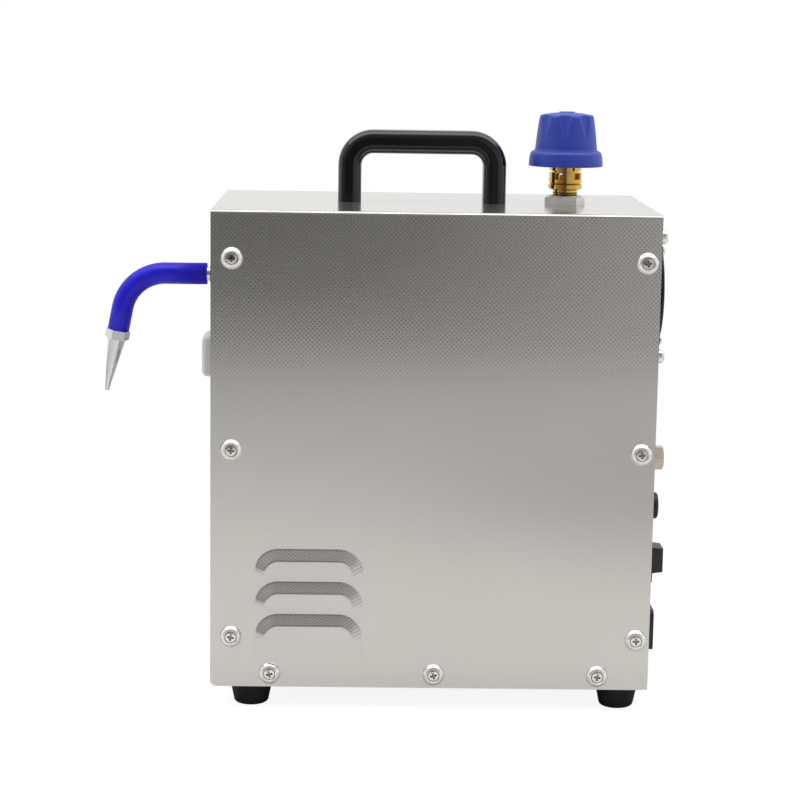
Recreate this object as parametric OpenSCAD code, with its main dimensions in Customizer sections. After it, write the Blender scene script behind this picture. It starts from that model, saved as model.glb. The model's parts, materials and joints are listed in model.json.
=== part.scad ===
// Jewelry steam cleaner: a stainless sheet-metal cabinet round a small electric boiler.
// A foot-switched valve sends steam through the bent, sleeved nozzle at the front.
// X runs from the nozzle to the rear panel, Z is up, and the cabinet is centred on Y = 0.
// The origin is on the counter, under the middle of the machine's overall length.

/* [Cabinet] */
// Length of the cover, front edge to rear edge
body_l = 300; // [296:1:320]
// Width over the cover's two sides
body_w = 186; // [184:1:200]
// Height of the cover, without the feet
body_h = 326; // [325:1:340]
// Thickness of the stainless cover sheet
sheet = 1.2; // [0.8:0.1:1.5]
// Thickness of the chassis sheet
chassis_t = 1.5; // [1:0.1:2]
// How far the front panel sits back inside the cover
front_inset = 5.5; // [3:0.5:8]
// Height of the rubber feet
foot_h = 15; // [12:1:20]

/* [Louvres] */
// Louvres on each side
louvre_count = 3; // [1:1:4]
// Width of one louvre
louvre_w = 73.5; // [50:0.5:90]
// Height of one louvre
louvre_h = 18; // [16:0.5:20]
// Spacing of the louvres
louvre_pitch = 22.6; // [21:0.1:28]
// How far a louvre stands out
louvre_out = 5; // [3:0.5:6]

/* [Handle] */
// Distance between the handle's legs, centre to centre
handle_span = 101.2; // [90:0.2:120]
// Height of the handle over the cover
handle_rise = 50.2; // [45:0.1:60]
// Thickness of the handle, seen from the side
handle_t = 16.3; // [14:0.1:20]
// Width of the handle, across the cabinet
handle_w = 25; // [20:1:30]

/* [Filler cap] */
// Diameter of the knob's skirt
knob_skirt_d = 52; // [46:1:60]
// Diameter of the knob's crown where it meets the skirt
knob_crown_d = 43.8; // [38:0.2:46]
// Flutes round the crown
knob_flutes = 8; // [6:1:10]
// Thread pitch of the filler plug
plug_pitch = 1.5; // [1:0.25:2]
// Turns that free the plug from the neck
plug_turns = 8.5; // [6:0.5:8.5]

/* [Nozzle] */
// Outer diameter of the silicone sleeve
sleeve_d = 15.2; // [13:0.1:18]
// Radius of the bend, on the tube's axis
bend_r = 31; // [22:1:35]
// Angle of the bend
bend_a = 79; // [60:1:90]
// Straight sleeve before the bend
sleeve_straight = 29.4; // [25:0.1:45]
// Straight sleeve after the bend
sleeve_tail = 16; // [12:1:30]
// Length of the steel tip with its collar
tip_l = 44; // [36:1:50]

/* [Fan] */
// Side of the square fan
fan_side = 70; // [70:1:70]
// Spacing of the fan's screws
fan_pitch = 60; // [58:1:61]
// Blades on the rotor
fan_blades = 7; // [5:1:9]

/* [Hidden] */
$fn = 64;
eps = 0.01;
STEEL = "#c8c5bf";
CHROME = "#d6d7d8";
BLACK = "#1b1b1d";
BRASS = "#c79a3c";
COPPER = "#b87149";
BLUE_KNOB = "#3a4db5";
BLUE_SLEEVE = "#2a1fc0";
WHITE = "#f2f2ee";

// Overall length, which sets where the cabinet stands on the X axis
sleeve_gap = 8.7;           // from the cover's front edge to the sleeve
tip_end_r = 1.4;
drain_reach = 15.2;         // the drain cap is the rearmost piece
nozzle_reach = sleeve_gap + sleeve_straight + bend_r * sin(bend_a)
    + max((sleeve_tail + tip_l) * cos(bend_a) + tip_end_r * sin(bend_a),
          sleeve_tail * cos(bend_a) + sleeve_d / 2 * sin(bend_a));
front_x = round(5 * (nozzle_reach - body_l - drain_reach)) / 10;

// Cabinet
cover_bend = 2.5;
corner_r = 4;
side_y = body_w / 2;
flange_y = side_y - sheet;  // outside of the chassis
flange_w = 18;
tray_h = 16.5;              // height of the base pan's upturned edges
panel_top = body_h - sheet;
rear_inner = body_l - chassis_t;

// Cover screws: three down each edge and three along the foot of each side
m4_r = 2;
screw_inset = 8.5;          // from the front panel's face
rear_screw_inset = 9.2;     // from the cover's rear edge
screw_z = [35, 164.4, 294];
foot_row_z = 9.3;
foot_row_x = [for (k = [-1, 0, 1]) (front_inset + body_l) / 2 + k * 112.3];
cover_screw_xz = concat(
    [for (z = screw_z) [front_inset + screw_inset, z]],
    [for (z = screw_z) [body_l - rear_screw_inset, z]],
    [for (x = foot_row_x) [x, foot_row_z]]
);
washer_r = 7.6;
washer_h = 3.1;
washer_seat = 1.25;         // where the washer's cone starts

// Louvres
louvre_x = 66.8;            // middle of the louvres
louvre_z = 34.2;            // open edge of the lowest one
louvre_corner = 13;
louvre_slope = 8;

// Feet
foot_xs = [27.5, 280.3];     // front pair and rear pair
foot_y = side_y - 16;
foot_r = 14.6;
foot_web = 7;               // rubber above the screw's head

// Handle
handle_x = 141.8;
handle_r = 6;               // rounding of its section
handle_bend = 8.2;          // inner radius of its corners
m5_r = 2.5;

// Filler neck and cap
cap_x = 242.5;
neck_r = 11.5;
neck_bore_r = 8.7;
neck_mouth_r = 6;
neck_top = body_h + 6.3;
seat_z = body_h - 10;       // shoulder that the seal lands on
seal_h = 2.8;
seal_bore_r = 3.2;
plug_r = 8.6;
plug_flange_z = body_h + 10.5;
slots_z = body_h + 14.6;    // foot of the steam slots
slots_h = 7.8;
slot_count = 5;
boss_r = 9.4;               // brass inside the knob
skirt_z = body_h + 26.6;    // underside of the knob
skirt_h = 10.7;
crown_top_z = body_h + 62.3;
crown_top_r = 19.5;
flute_l = 19.2;             // how far down the crown a flute runs
chamber_r = 6.3;            // spring chamber inside the plug
chamber_top = body_h + 44;

// Nozzle
nozzle_z = 273.3;
tube_r = 5;
bend_slim = 0.04;
bend_lap = 0.3;
union_af = 16;

// Front fittings
switch_y = -55;
switch_z = 224.4;
rocker_l = 20;
rocker_tilt = 12;
trunnion_r = 1.2;
gauge_y = 50;
gauge_z = 222;
gauge_r = 27;
lamp_z = 168;
lamp_y = [-12, 12];

// Rear fittings
fan_t = 15;
fan_y = -52;
fan_z = 271.5;
bracket_screw_y = side_y - 10;
bracket_screw_z = [230.5, 311];
drain_y = -20;
drain_z = 149;
drain_stub = 42;            // from the rear edge to the boiler's outlet
fuse_y = -38;
fuse_z = 118;
pedal_y = -62;
pedal_z = 86.2;
inlet_y = -55;
inlet_z = 38.4;
inlet_screw_dy = 20;
inlet_t = 4.6;              // thickness of its flange

// Boiler and steam path
boiler_x = 214;
boiler_r = 67;
boiler_z = [160, fan_z + fan_side / 2];
boiler_t = 1.5;
boiler_round = 12;
steam_port_x = 188;
pressure_z = 256;
strap_z = [225, 236.4];
valve_x = 70;
valve_travel_gap = 12.6;    // room for the plunger's spring
pipe_r = 4;
pipe_z = 314;               // level run of the steam pipe
pipe_bend = 8;
capillary_r = 2.5;
capillary_bend = 12;
capillary_x = 100;          // where the gauge pipe crosses the cabinet

// ---------- helpers ----------

// Points of an arc in a profile
function arc(cx, cy, r, a0, a1, n = 8) =
    [for (i = [0:n]) let (a = a0 + (a1 - a0) * i / n) [cx + r * cos(a), cy + r * sin(a)]];

// A place in the cabinet: x from the cover's front edge, z from its lower edge
module place(x, y, z) translate([front_x + x, y, foot_h + z]) children();

// Local Z points out of the front, local X up
module facing_front() rotate([0, -90, 0]) children();

// Local Z points out of the rear, local X up
module facing_rear() rotate([0, 90, 0]) rotate(180) children();

// Local Z points out of the side, local Y up
module facing_side(side) mirror([0, side > 0 ? 1 : 0, 0]) rotate([90, 0, 0]) children();

module ring(outer, inner, h) difference() {
    cylinder(r = outer, h = h);
    translate([0, 0, -1]) cylinder(r = inner, h = h + 2);
}

module rounded_rect(w, h, r) {
    square([w - 2 * r, h], center = true);
    square([w, h - 2 * r], center = true);
    for (x = [-1, 1], y = [-1, 1]) translate([x * (w / 2 - r), y * (h / 2 - r)]) circle(r);
}

module slab(w, h, t, r) linear_extrude(t) rounded_rect(w, h, r);

// Hexagon bar with the given distance across its flats
module hex(across, h) cylinder(r = across / 2 / cos(30), h = h, $fn = 6);

// Hexagon whose top corners are turned off, as on a machined nut
module turned_hex(across, h) intersection() {
    hex(across, h);
    rotate_extrude() polygon([[0, 0], [across, 0], [across / 2 + 1.6, h - 1.4],
        [across / 2 - 0.4, h], [0, h]]);
}

// Pan-head screw pointing down from z = 0, its head above
module pan_screw(r, l, head_r, head_h) {
    translate([0, 0, -l]) cylinder(r = r, h = l + eps);
    difference() {
        rotate_extrude() polygon(concat([[0, 0], [head_r, 0]],
            arc(head_r - head_h * 0.8, head_h * 0.2, head_h * 0.8, 0, 90, 5), [[0, head_h]]));
        cross_recess(head_r * 0.55, head_h * 0.6, head_h);
    }
}

// Cross recess cut down from z = top
module cross_recess(reach, depth, top) for (a = [0, 90]) rotate(a)
    translate([-reach, -reach * 0.17, top - depth]) cube([2 * reach, reach * 0.34, depth + 1]);

// A bend of round bar, from angle a0 through angle a about the local Z axis
module elbow(r, bend, a0, a) rotate(a0) rotate_extrude(angle = a) translate([bend, 0]) circle(r);

// Helical spring: rings of six points round the coil's path, joined into one closed skin
module coil(r, wire, turns, rise, steps = 14) {
    sides = 6;
    n = turns * steps;
    points = [for (i = [0:n]) let (a = 360 * i / steps)
        for (k = [0:sides - 1]) let (b = 360 * k / sides)
            [(r + wire * cos(b)) * cos(a), (r + wire * cos(b)) * sin(a),
             rise * i / steps + wire * sin(b)]];
    skin = [for (i = [0:n - 1], k = [0:sides - 1]) let (m = (k + 1) % sides)
        [i * sides + k, i * sides + m, (i + 1) * sides + m, (i + 1) * sides + k]];
    polyhedron(points, concat(skin,
        [[for (k = [0:sides - 1]) sides - 1 - k]], [[for (k = [0:sides - 1]) n * sides + k]]));
}

// ---------- cabinet ----------

// Cross-section of a folded cover: two sides and a top with rounded folds
module arch(w, h, r) {
    translate([-w / 2, 0]) square([w, h - r]);
    translate([r - w / 2, 0]) square([w - 2 * r, h]);
    for (s = [-1, 1]) translate([s * (w / 2 - r), h - r]) circle(r);
}

// Solid outline of a pressed louvre: open edge at y = 0, slopes above and at both ends
module louvre_form(w, h, out, r, slope, drop = 0) {
    rotate([90, 0, 90]) translate([0, 0, r - w / 2]) linear_extrude(w - 2 * r)
        polygon([[-drop, 0], [h, 0], [h - slope, out], [-drop, out]]);
    translate([0, h - r, 0]) rotate([90, 0, 0]) linear_extrude(h - r + drop)
        polygon([[-w / 2, 0], [w / 2, 0], [w / 2 - slope, out], [slope - w / 2, out]]);
    for (s = [-1, 1]) translate([s * (w / 2 - r), h - r, 0])
        cylinder(r1 = r, r2 = r - slope, h = out);
}

// Inside of a louvre, cut through the sheet behind it and open below
module louvre_hollow() {
    inner_out = louvre_out - sheet;
    inner_slope = louvre_slope * inner_out / louvre_out;
    wall = sheet * norm([louvre_slope, louvre_out]) / louvre_out;
    w = louvre_w - 2 * wall;
    h = louvre_h - wall;
    r = louvre_corner - wall;
    louvre_form(w, h, inner_out, r, inner_slope, 1);
    translate([0, 0, -sheet - 1]) linear_extrude(sheet + 1 + eps) {
        translate([-w / 2, 0]) square([w, h - r]);
        translate([r - w / 2, 0]) square([w - 2 * r, h]);
        for (s = [-1, 1]) translate([s * (w / 2 - r), h - r]) circle(r);
    }
}

module at_louvres() for (side = [-1, 1], i = [0:louvre_count - 1])
    place(louvre_x, side * side_y, louvre_z + i * louvre_pitch) facing_side(side) children();

module at_cover_screws() for (side = [-1, 1], p = cover_screw_xz)
    place(p[0], side * side_y, p[1]) facing_side(side) children();

// Cutter that rounds one lower corner of the cover's sides
module corner_cutter(x, turn) place(x, 0, 0) rotate([90, 0, 0]) rotate(turn)
    linear_extrude(body_w + 4, center = true) difference() {
        translate([-1, -1]) square(corner_r + 1);
        translate([corner_r, corner_r]) circle(corner_r);
    }

module cover() color(STEEL) difference() {
    union() {
        place(0, 0, 0) rotate([90, 0, 90]) linear_extrude(body_l) difference() {
            arch(body_w, body_h, cover_bend);
            translate([0, -1]) arch(body_w - 2 * sheet, body_h - sheet + 1, cover_bend - sheet);
        }
        at_louvres() louvre_form(louvre_w, louvre_h, louvre_out, louvre_corner, louvre_slope);
    }
    at_louvres() louvre_hollow();
    at_cover_screws() translate([0, 0, -sheet - 1]) cylinder(r = m4_r + 0.25, h = sheet + 2);
    place(cap_x, 0, body_h - sheet - 1) cylinder(r = neck_r + 0.3, h = sheet + 2);
    at_handle_legs() translate([0, 0, -sheet - 1]) cylinder(r = m5_r + 0.3, h = sheet + 2);
    corner_cutter(0, 0);
    corner_cutter(body_l, 90);
}

// Holes tapped for cover screws at the given height
module tapped(x, z) place(x, 0, z) rotate([90, 0, 0])
    cylinder(r = m4_r + 0.05, h = body_w, center = true);

// End panel between the cover's sides, with a flange folded in along each side
module end_panel(x, flange_x) {
    place(x, 0, 0) rotate([90, 0, 90]) linear_extrude(chassis_t)
        arch(2 * flange_y, panel_top, cover_bend);
    for (s = [0, 1]) place(flange_x, -flange_y + s * (2 * flange_y - chassis_t), tray_h + 0.5)
        cube([flange_w, chassis_t, panel_top - cover_bend - tray_h - 0.5]);
}

module front_panel() color(STEEL) difference() {
    end_panel(front_inset, front_inset);
    for (z = screw_z) tapped(front_inset + screw_inset, z);
    at_front(0, nozzle_z) cylinder(r = tube_r + 1.5, h = 6, center = true);
    at_front(switch_y, switch_z) cube([28.4, 22.4, 6], center = true);
    at_front(gauge_y, gauge_z) cylinder(r = 24.8, h = 6, center = true);
    for (y = lamp_y) at_front(y, lamp_z) cylinder(r = 5.1, h = 6, center = true);
}

module rear_panel() color(STEEL) difference() {
    end_panel(rear_inner, body_l - flange_w);
    for (z = screw_z) tapped(body_l - rear_screw_inset, z);
    at_rear(fan_y, fan_z) {
        cylinder(r = 32.5, h = 6, center = true);
        at_fan_corners() cylinder(r = 1.7, h = 6, center = true);
    }
    at_bracket_screws() cylinder(r = m5_r + 0.2, h = 6, center = true);
    at_rear(drain_y, drain_z) cylinder(r = 6.3, h = 6, center = true);
    at_rear(fuse_y, fuse_z) cylinder(r = 7.7, h = 6, center = true);
    at_rear(pedal_y, pedal_z) cube([20.4, 18.4, 6], center = true);
    at_rear(inlet_y, inlet_z) {
        cube([21.4, 30.4, 6], center = true);
        at_inlet_screws() cylinder(r = 1.7, h = 6, center = true);
    }
}

// Floor of the chassis, a tray between the end panels
module base_pan() color(STEEL) {
    pan_x = front_inset + chassis_t;
    pan_l = rear_inner - pan_x;
    difference() {
        place(pan_x, -flange_y, 0) cube([pan_l, 2 * flange_y, tray_h]);
        place(pan_x + chassis_t, chassis_t - flange_y, chassis_t)
            cube([pan_l - 2 * chassis_t, 2 * (flange_y - chassis_t), tray_h]);
        for (x = foot_row_x) tapped(x, foot_row_z);
        at_feet() translate([0, 0, -1]) cylinder(r = m4_r + 0.05, h = chassis_t + 2);
    }
}

// Dished cup washer: a rolled rim and a cone that takes the screw's head
module cup_washers() color(CHROME) at_cover_screws() rotate_extrude()
    polygon(concat([[2.3, 0], [washer_r, 0]], arc(washer_r - 2.6, 0.5, 2.6, 0, 90, 7),
        [[2.3 + washer_h - washer_seat, washer_h], [2.3, washer_seat]]));

// Raised countersunk screw: a cone in the washer and a low dome over it
module cover_screws() color(CHROME) at_cover_screws() difference() {
    head_r = m4_r + 1.9;
    head_z = washer_seat + 1.65;
    rise = 1.05;
    dome_r = (head_r * head_r + rise * rise) / 2 / rise;
    union() {
        translate([0, 0, -5.5]) cylinder(r = m4_r, h = 5.5 + washer_seat - 0.25);
        rotate_extrude() polygon(concat([[0, head_z - 1.9 - eps], [m4_r - eps, head_z - 1.9 - eps]],
            arc(0, head_z + rise - dome_r, dome_r, acos(head_r / dome_r), 90, 4)));
    }
    cross_recess(2.2, 1.6, head_z + rise);
}

// ---------- feet ----------

function foot_x(rear) = foot_xs[rear ? 1 : 0];

module at_feet() for (rear = [false, true], side = [-1, 1])
    place(foot_x(rear), side * foot_y, 0) children();

// Moulded rubber foot, tapered, with a counterbore for its screw
module foot(rear, side) color(BLACK) place(foot_x(rear), side * foot_y, -foot_h)
    rotate_extrude() polygon(concat([[5.2, 0]], arc(foot_r - 5.4, 2.8, 2.8, -90, -8, 6),
        [[foot_r, foot_h], [m4_r + 0.3, foot_h], [m4_r + 0.3, foot_h - foot_web],
         [5.2, foot_h - foot_web]]));

module foot_front_left() foot(false, -1);
module foot_front_right() foot(false, 1);
module foot_rear_left() foot(true, -1);
module foot_rear_right() foot(true, 1);

module foot_screws() color(CHROME) at_feet() translate([0, 0, -foot_web]) mirror([0, 0, 1])
    pan_screw(m4_r, foot_web + chassis_t + 2.5, 4, 2.8);

// ---------- handle ----------

module at_handle_legs() for (s = [-1, 1])
    place(handle_x + s * handle_span / 2, 0, body_h) children();

// One continuous section: up a leg, round a corner, along the grip and down again
module handle() color(BLACK) difference() {
    straight = handle_rise - handle_t - handle_bend;
    half_grip = (handle_span - handle_t) / 2 - handle_bend;
    union() {
        at_handle_legs() slab(handle_t, handle_w, straight, handle_r);
        for (s = [-1, 1]) place(handle_x + s * half_grip, 0, body_h + straight)
            rotate([90, 0, 0]) rotate(s > 0 ? 0 : 90) rotate_extrude(angle = 90)
                translate([handle_bend + handle_t / 2, 0])
                    rounded_rect(handle_t, handle_w, handle_r);
        place(handle_x, 0, body_h + handle_rise - handle_t / 2) rotate([0, 90, 0])
            linear_extrude(2 * half_grip, center = true)
                rounded_rect(handle_t, handle_w, handle_r);
    }
    at_handle_legs() translate([0, 0, -1]) cylinder(r = m5_r + 0.05, h = 19);
}

// Screws and washers under the cover's top, up into the handle's legs
module handle_screws() color(CHROME) at_handle_legs() translate([0, 0, -sheet - 1.2]) {
    ring(6.5, m5_r + 0.2, 1.2);
    mirror([0, 0, 1]) pan_screw(m5_r, 18, 4.75, 3.6);
}

// ---------- filler neck and cap ----------

module filler_neck() color(CHROME) place(cap_x, 0, 0) difference() {
    translate([0, 0, boiler_z[1]]) cylinder(r = neck_r, h = neck_top - boiler_z[1]);
    translate([0, 0, seat_z]) cylinder(r = neck_bore_r, h = neck_top);
    translate([0, 0, boiler_z[1] - 1]) cylinder(r = neck_mouth_r, h = 20);
}

module neck_nut() color(CHROME) place(cap_x, 0, body_h) difference() {
    turned_hex(24.4, 5.8);
    translate([0, 0, -1]) cylinder(r = neck_r + 0.05, h = 8);
}

module cap_seal() color(BLACK) place(cap_x, 0, seat_z) ring(8.4, seal_bore_r, seal_h);

// Brass plug: nose, threaded shank, flange, slotted steam skirt and the knob's boss
module cap_plug() color(BRASS) place(cap_x, 0, 0) difference() {
    nose_r = seal_bore_r - 0.1;
    seal_top = seat_z + seal_h + 0.05;
    slots_top = slots_z + slots_h;
    rotate_extrude() polygon([
        [0, seat_z - 2], [4, seat_z - 1.4], [4, seat_z - 0.5], [nose_r, seat_z - 0.3],
        [nose_r, seal_top], [plug_r, seal_top], [plug_r, plug_flange_z - 0.8],
        [11.9, plug_flange_z + 0.5], [11.9, slots_z - 0.8], [10.4, slots_z - 0.2],
        [11.45, slots_z + 0.3], [11.45, slots_top], [boss_r, slots_top],
        [boss_r, slots_top + 1], [11.2, slots_top + 1], [11.2, skirt_z - 0.8],
        [boss_r, skirt_z - 0.8], [boss_r, chamber_top + 3], [0, chamber_top + 3],
    ]);
    for (i = [0:slot_count - 1]) rotate(i * 360 / slot_count + 25) {
        translate([chamber_r - 2, -2.8, slots_z + 2.9]) cube([10, 5.6, slots_h - 3.4]);
        rotate(-22) translate([boss_r, -1.7, slots_top + 0.5]) cube([3, 3.4, 6]);
    }
    translate([0, 0, slots_z]) cylinder(r = chamber_r, h = chamber_top - slots_z);
    translate([0, 0, seat_z - 3]) cylinder(r = 1.6, h = slots_z - seat_z + 4);
}

// Moulded knob: a flared skirt and a tapered crown whose flutes fade out downwards
module cap_knob() color(BLUE_KNOB) place(cap_x, 0, 0) difference() {
    skirt_r = knob_skirt_d / 2;
    skirt_top = skirt_z + skirt_h;
    bore_r = boss_r + 0.05;
    rotate_extrude() polygon(concat(
        [[bore_r, skirt_z], [skirt_r, skirt_z]],
        arc(skirt_r - 4.6, skirt_top - 3.6, 3.6, 4, 84, 6),
        [[knob_crown_d / 2, skirt_top + 0.6]],
        arc(crown_top_r - 2.2, crown_top_z - 2.2, 2.2, 6, 74, 5),
        [[6.2, crown_top_z + 1.5], [5.3, crown_top_z + 1.6], [5.1, crown_top_z + 2.2],
         [0, crown_top_z + 2.2], [0, chamber_top + 3.05], [bore_r, chamber_top + 3.05]]));
    for (i = [0:knob_flutes - 1]) rotate((i + 0.87) * 360 / knob_flutes)
        translate([knob_crown_d / 2 - 0.2, 0, crown_top_z - flute_l]) rotate([0, 11, 0])
            cylinder(r1 = 0.3, r2 = 10.8, h = flute_l + 5);
    translate([0, 0, skirt_z - 1]) ring(20, 12.4, 9);
}

// Poppet on the plug's seat, and the spring that holds it down
module relief_poppet() color(BRASS) place(cap_x, 0, slots_z) {
    translate([0, 0, 0.1]) cylinder(r1 = 3.6, r2 = 5, h = 3);
    translate([0, 0, 3]) cylinder(r = 5, h = 3);
    translate([0, 0, 6 - eps]) cylinder(r = 2.2, h = 14);
}

module relief_spring() color(CHROME) place(cap_x, 0, slots_z + 6.9)
    coil(4.1, 0.6, 6, (chamber_top - slots_z - 8) / 6);

// ---------- nozzle ----------

// Round bar along the nozzle: back is the straight inside the cabinet, tail the one after
// the bend. Both straights run a little way into the bend, which is a hair slimmer.
module nozzle_bar(r, back, tail) {
    place(back - sleeve_gap, 0, nozzle_z) rotate([0, -90, 0])
        cylinder(r = r, h = back + sleeve_straight + bend_lap);
    place(-sleeve_gap - sleeve_straight, 0, nozzle_z - bend_r) rotate([90, 0, 0])
        elbow(r - bend_slim, bend_r, 90, bend_a);
    at_nozzle_end() translate([0, 0, -tail]) cylinder(r = r, h = tail + bend_lap);
}

// The end of the bend: local -Z runs on along the nozzle
module at_nozzle_end() place(-sleeve_gap - sleeve_straight, 0, nozzle_z - bend_r)
    rotate([0, 90 - bend_a, 0]) translate([-bend_r, 0, 0]) children();

module nozzle_sleeve() color(BLUE_SLEEVE) difference() {
    nozzle_bar(sleeve_d / 2, 0, sleeve_tail);
    nozzle_bar(tube_r + 0.05, 1, sleeve_tail + 1);
}

module nozzle_tube() color(CHROME) difference() {
    back = sleeve_gap + valve_x - 8;
    nozzle_bar(tube_r, back, sleeve_tail + 6);
    nozzle_bar(tube_r - 1.5, back + 1, sleeve_tail + 7);
}

module nozzle_tip() color(CHROME) at_nozzle_end() translate([0, 0, -sleeve_tail]) difference() {
    collar = 6.5;
    union() {
        mirror([0, 0, 1]) rotate(10) turned_hex(15, collar);
        translate([0, 0, -tip_l]) cylinder(r1 = tip_end_r, r2 = 6.3, h = tip_l - collar + eps);
    }
    translate([0, 0, -6.1]) cylinder(r = tube_r + 0.05, h = 7);
    translate([0, 0, 8 - tip_l]) cylinder(r1 = 0.8, r2 = 3.4, h = tip_l - 14);
    translate([0, 0, -tip_l - 1]) cylinder(r = 0.8, h = 10);
}

// Hexagon union outside the panel and its lock nut inside
module nozzle_union() color(CHROME) place(0, 0, nozzle_z) facing_front() difference() {
    union() {
        translate([0, 0, -front_inset]) rotate(30)
            turned_hex(union_af, front_inset + sleeve_gap - 2.4);
        translate([0, 0, -front_inset - chassis_t - 5]) rotate(30) hex(union_af, 5);
    }
    translate([0, 0, -20]) cylinder(r = tube_r + 0.05, h = 40);
}

// ---------- front fittings ----------

module at_front(y, z) place(front_inset, y, z) facing_front() children();

// Bezel outside the panel, walls and blade terminals inside, open for the rocker
module power_switch_housing() color(BLACK) at_front(switch_y, switch_z) difference() {
    union() {
        slab(31, 25.5, 2, 1.5);
        translate([0, 0, -11 + eps]) cube([28, 22, 22], center = true);
        for (s = [-1, 0, 1]) translate([s * 7, 0, -26]) cube([0.8, 6.3, 8 + eps], center = true);
    }
    translate([0, 0, -4]) cube([rocker_l + 1.6, 17.6, 20], center = true);
    at_rocker_pivot() cylinder(r = trunnion_r + 0.06, h = 20.6, center = true);
}

module at_rocker_pivot() translate([0, 0, 1.5 - trunnion_r]) rotate([90, 0, 0]) children();

// Dished rocker on two trunnions, tipped to its off side
module power_switch_rocker() color(BLACK) at_front(switch_y, switch_z) {
    half = rocker_l / 2;
    at_rocker_pivot() {
        rotate(rocker_tilt) linear_extrude(17, center = true) polygon(concat(
            [[1 - half, -1], [-half, 6.2]],
            [for (i = [1:7]) [rocker_l * (i / 8 - 0.5), 6.2 - 1.6 * sin(22.5 * i)]],
            [[half, 6.2], [half - 1, -1], [2.5, -5.5], [-2.5, -5.5]]));
        cylinder(r = trunnion_r, h = 20.2, center = true);
    }
}

// Clear splash boot clamped over the switch
module switch_boot() color("#dfe3e2", 0.6) at_front(switch_y, switch_z) difference() {
    union() {
        slab(39, 33, 3.2, 4);
        boot_dome(0, 13.2);
    }
    boot_dome(1.2, 12);
    translate([0, 0, -1]) slab(31.4, 25.9, 3.1, 1.5);
}

// Rounded dome of the boot, drawn in by its wall for the inside
module boot_dome(wall, top) {
    r = 4 - wall;
    hull() for (x = [-1, 1], y = [-1, 1])
        translate([x * (14.5 - wall - r), y * (13.3 - wall - r), 0]) {
            translate([0, 0, top - r]) sphere(r, $fn = 24);
            cylinder(r = r, h = 1, $fn = 24);
        }
}

module gauge_case() color(CHROME) at_front(gauge_y, gauge_z) difference() {
    union() {
        rotate_extrude() polygon(concat([[0, 0], [gauge_r, 0]],
            arc(gauge_r - 2.5, 5.5, 2.5, 0, 90, 6), [[0, 8]]));
        translate([0, 0, -22]) cylinder(r = 24.5, h = 22 + eps);
        translate([0, 0, -30]) hex(12, 8 + eps);
    }
    translate([0, 0, 1]) cylinder(r = 21.6, h = 8);
    translate([0, 0, 5.2]) cylinder(r = 22.5, h = 8);
    translate([0, 0, -1.2]) cylinder(r = 1.25, h = 3);
    translate([0, 0, -31]) cylinder(r = capillary_r + 0.05, h = 6);
}

module gauge_dial() color(WHITE) at_front(gauge_y, gauge_z) translate([0, 0, 1]) ring(21.5, 1.6, 0.8);

// Needle at zero with its short tail, on a spindle through the dial
module gauge_needle() color(BLACK) at_front(gauge_y, gauge_z) rotate(135) {
    translate([0, 0, -1]) cylinder(r = 1.2, h = 3.8);
    translate([0, 0, 2.4]) cylinder(r = 2.4, h = 1.4);
    translate([0, 0, 2.5]) linear_extrude(0.7)
        polygon([[-6, -1.2], [-6, 1.2], [17.5, 0.3], [17.5, -0.3]]);
}

module gauge_lens() color("#e8eef0", 0.35) at_front(gauge_y, gauge_z) translate([0, 0, 5.2])
    cylinder(r = 22.45, h = 1.6);

module lamp(y) at_front(y, lamp_z) {
    rotate_extrude() polygon(concat([[0, 0], [6.8, 0], [6.8, 1.4]], arc(0, 1.4, 5, 0, 90, 8)));
    translate([0, 0, -18]) cylinder(r = 5, h = 18 + eps);
}

module power_lamp() color("#c8372c") lamp(lamp_y[0]);
module heat_lamp() color("#3c9b3f") lamp(lamp_y[1]);

// ---------- rear fittings ----------

module at_rear(y, z) place(body_l, y, z) facing_rear() children();

module at_fan_corners() for (x = [-1, 1], y = [-1, 1])
    translate([x * fan_pitch / 2, y * fan_pitch / 2, 0]) children();

module at_inlet_screws() for (s = [-1, 1]) translate([0, s * inlet_screw_dy, 0]) children();

module at_bracket_screws() for (side = [-1, 1], z = bracket_screw_z)
    at_rear(side * bracket_screw_y, z) children();

module at_fan() at_rear(fan_y, fan_z) translate([0, 0, -chassis_t - fan_t]) children();

// Square duct, and a four-armed spider that carries the spindle's bush
module fan_frame() color(BLACK) at_fan() {
    difference() {
        slab(fan_side, fan_side, fan_t, 4);
        translate([0, 0, -1]) cylinder(r = 33, h = fan_t + 2);
        translate([0, 0, -1]) at_fan_corners() cylinder(r = 1.7, h = fan_t + 2);
    }
    difference() {
        union() {
            cylinder(r = 15, h = 2);
            for (i = [0:3]) rotate(i * 90 + 20) translate([13, -1.5, 0]) cube([20.6, 3, 2]);
            cylinder(r = 3.2, h = 6);
        }
        translate([0, 0, -1]) cylinder(r = 1.55, h = 9);
    }
}

// Hub on its spindle, with blades twisted along the air's path
module fan_rotor() color(BLACK) at_fan() {
    translate([0, 0, 0.5]) cylinder(r = 1.5, h = 8);
    translate([0, 0, 8]) cylinder(r = 15.5, h = 5.5);
    translate([0, 0, 3]) ring(15.5, 13.5, 5 + eps);
    for (i = [0:fan_blades - 1]) rotate(i * 360 / fan_blades) rotate([90, 0, 90])
        translate([0, 0, 13.2]) linear_extrude(18) fan_blade_section();
}

// Cambered section of a blade, leaning along the air's path
module fan_blade_section() intersection() {
    translate([11, 1]) difference() {
        circle(16.5);
        circle(15.2);
    }
    translate([-8, 3.2]) square([16, 9.4]);
}

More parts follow.
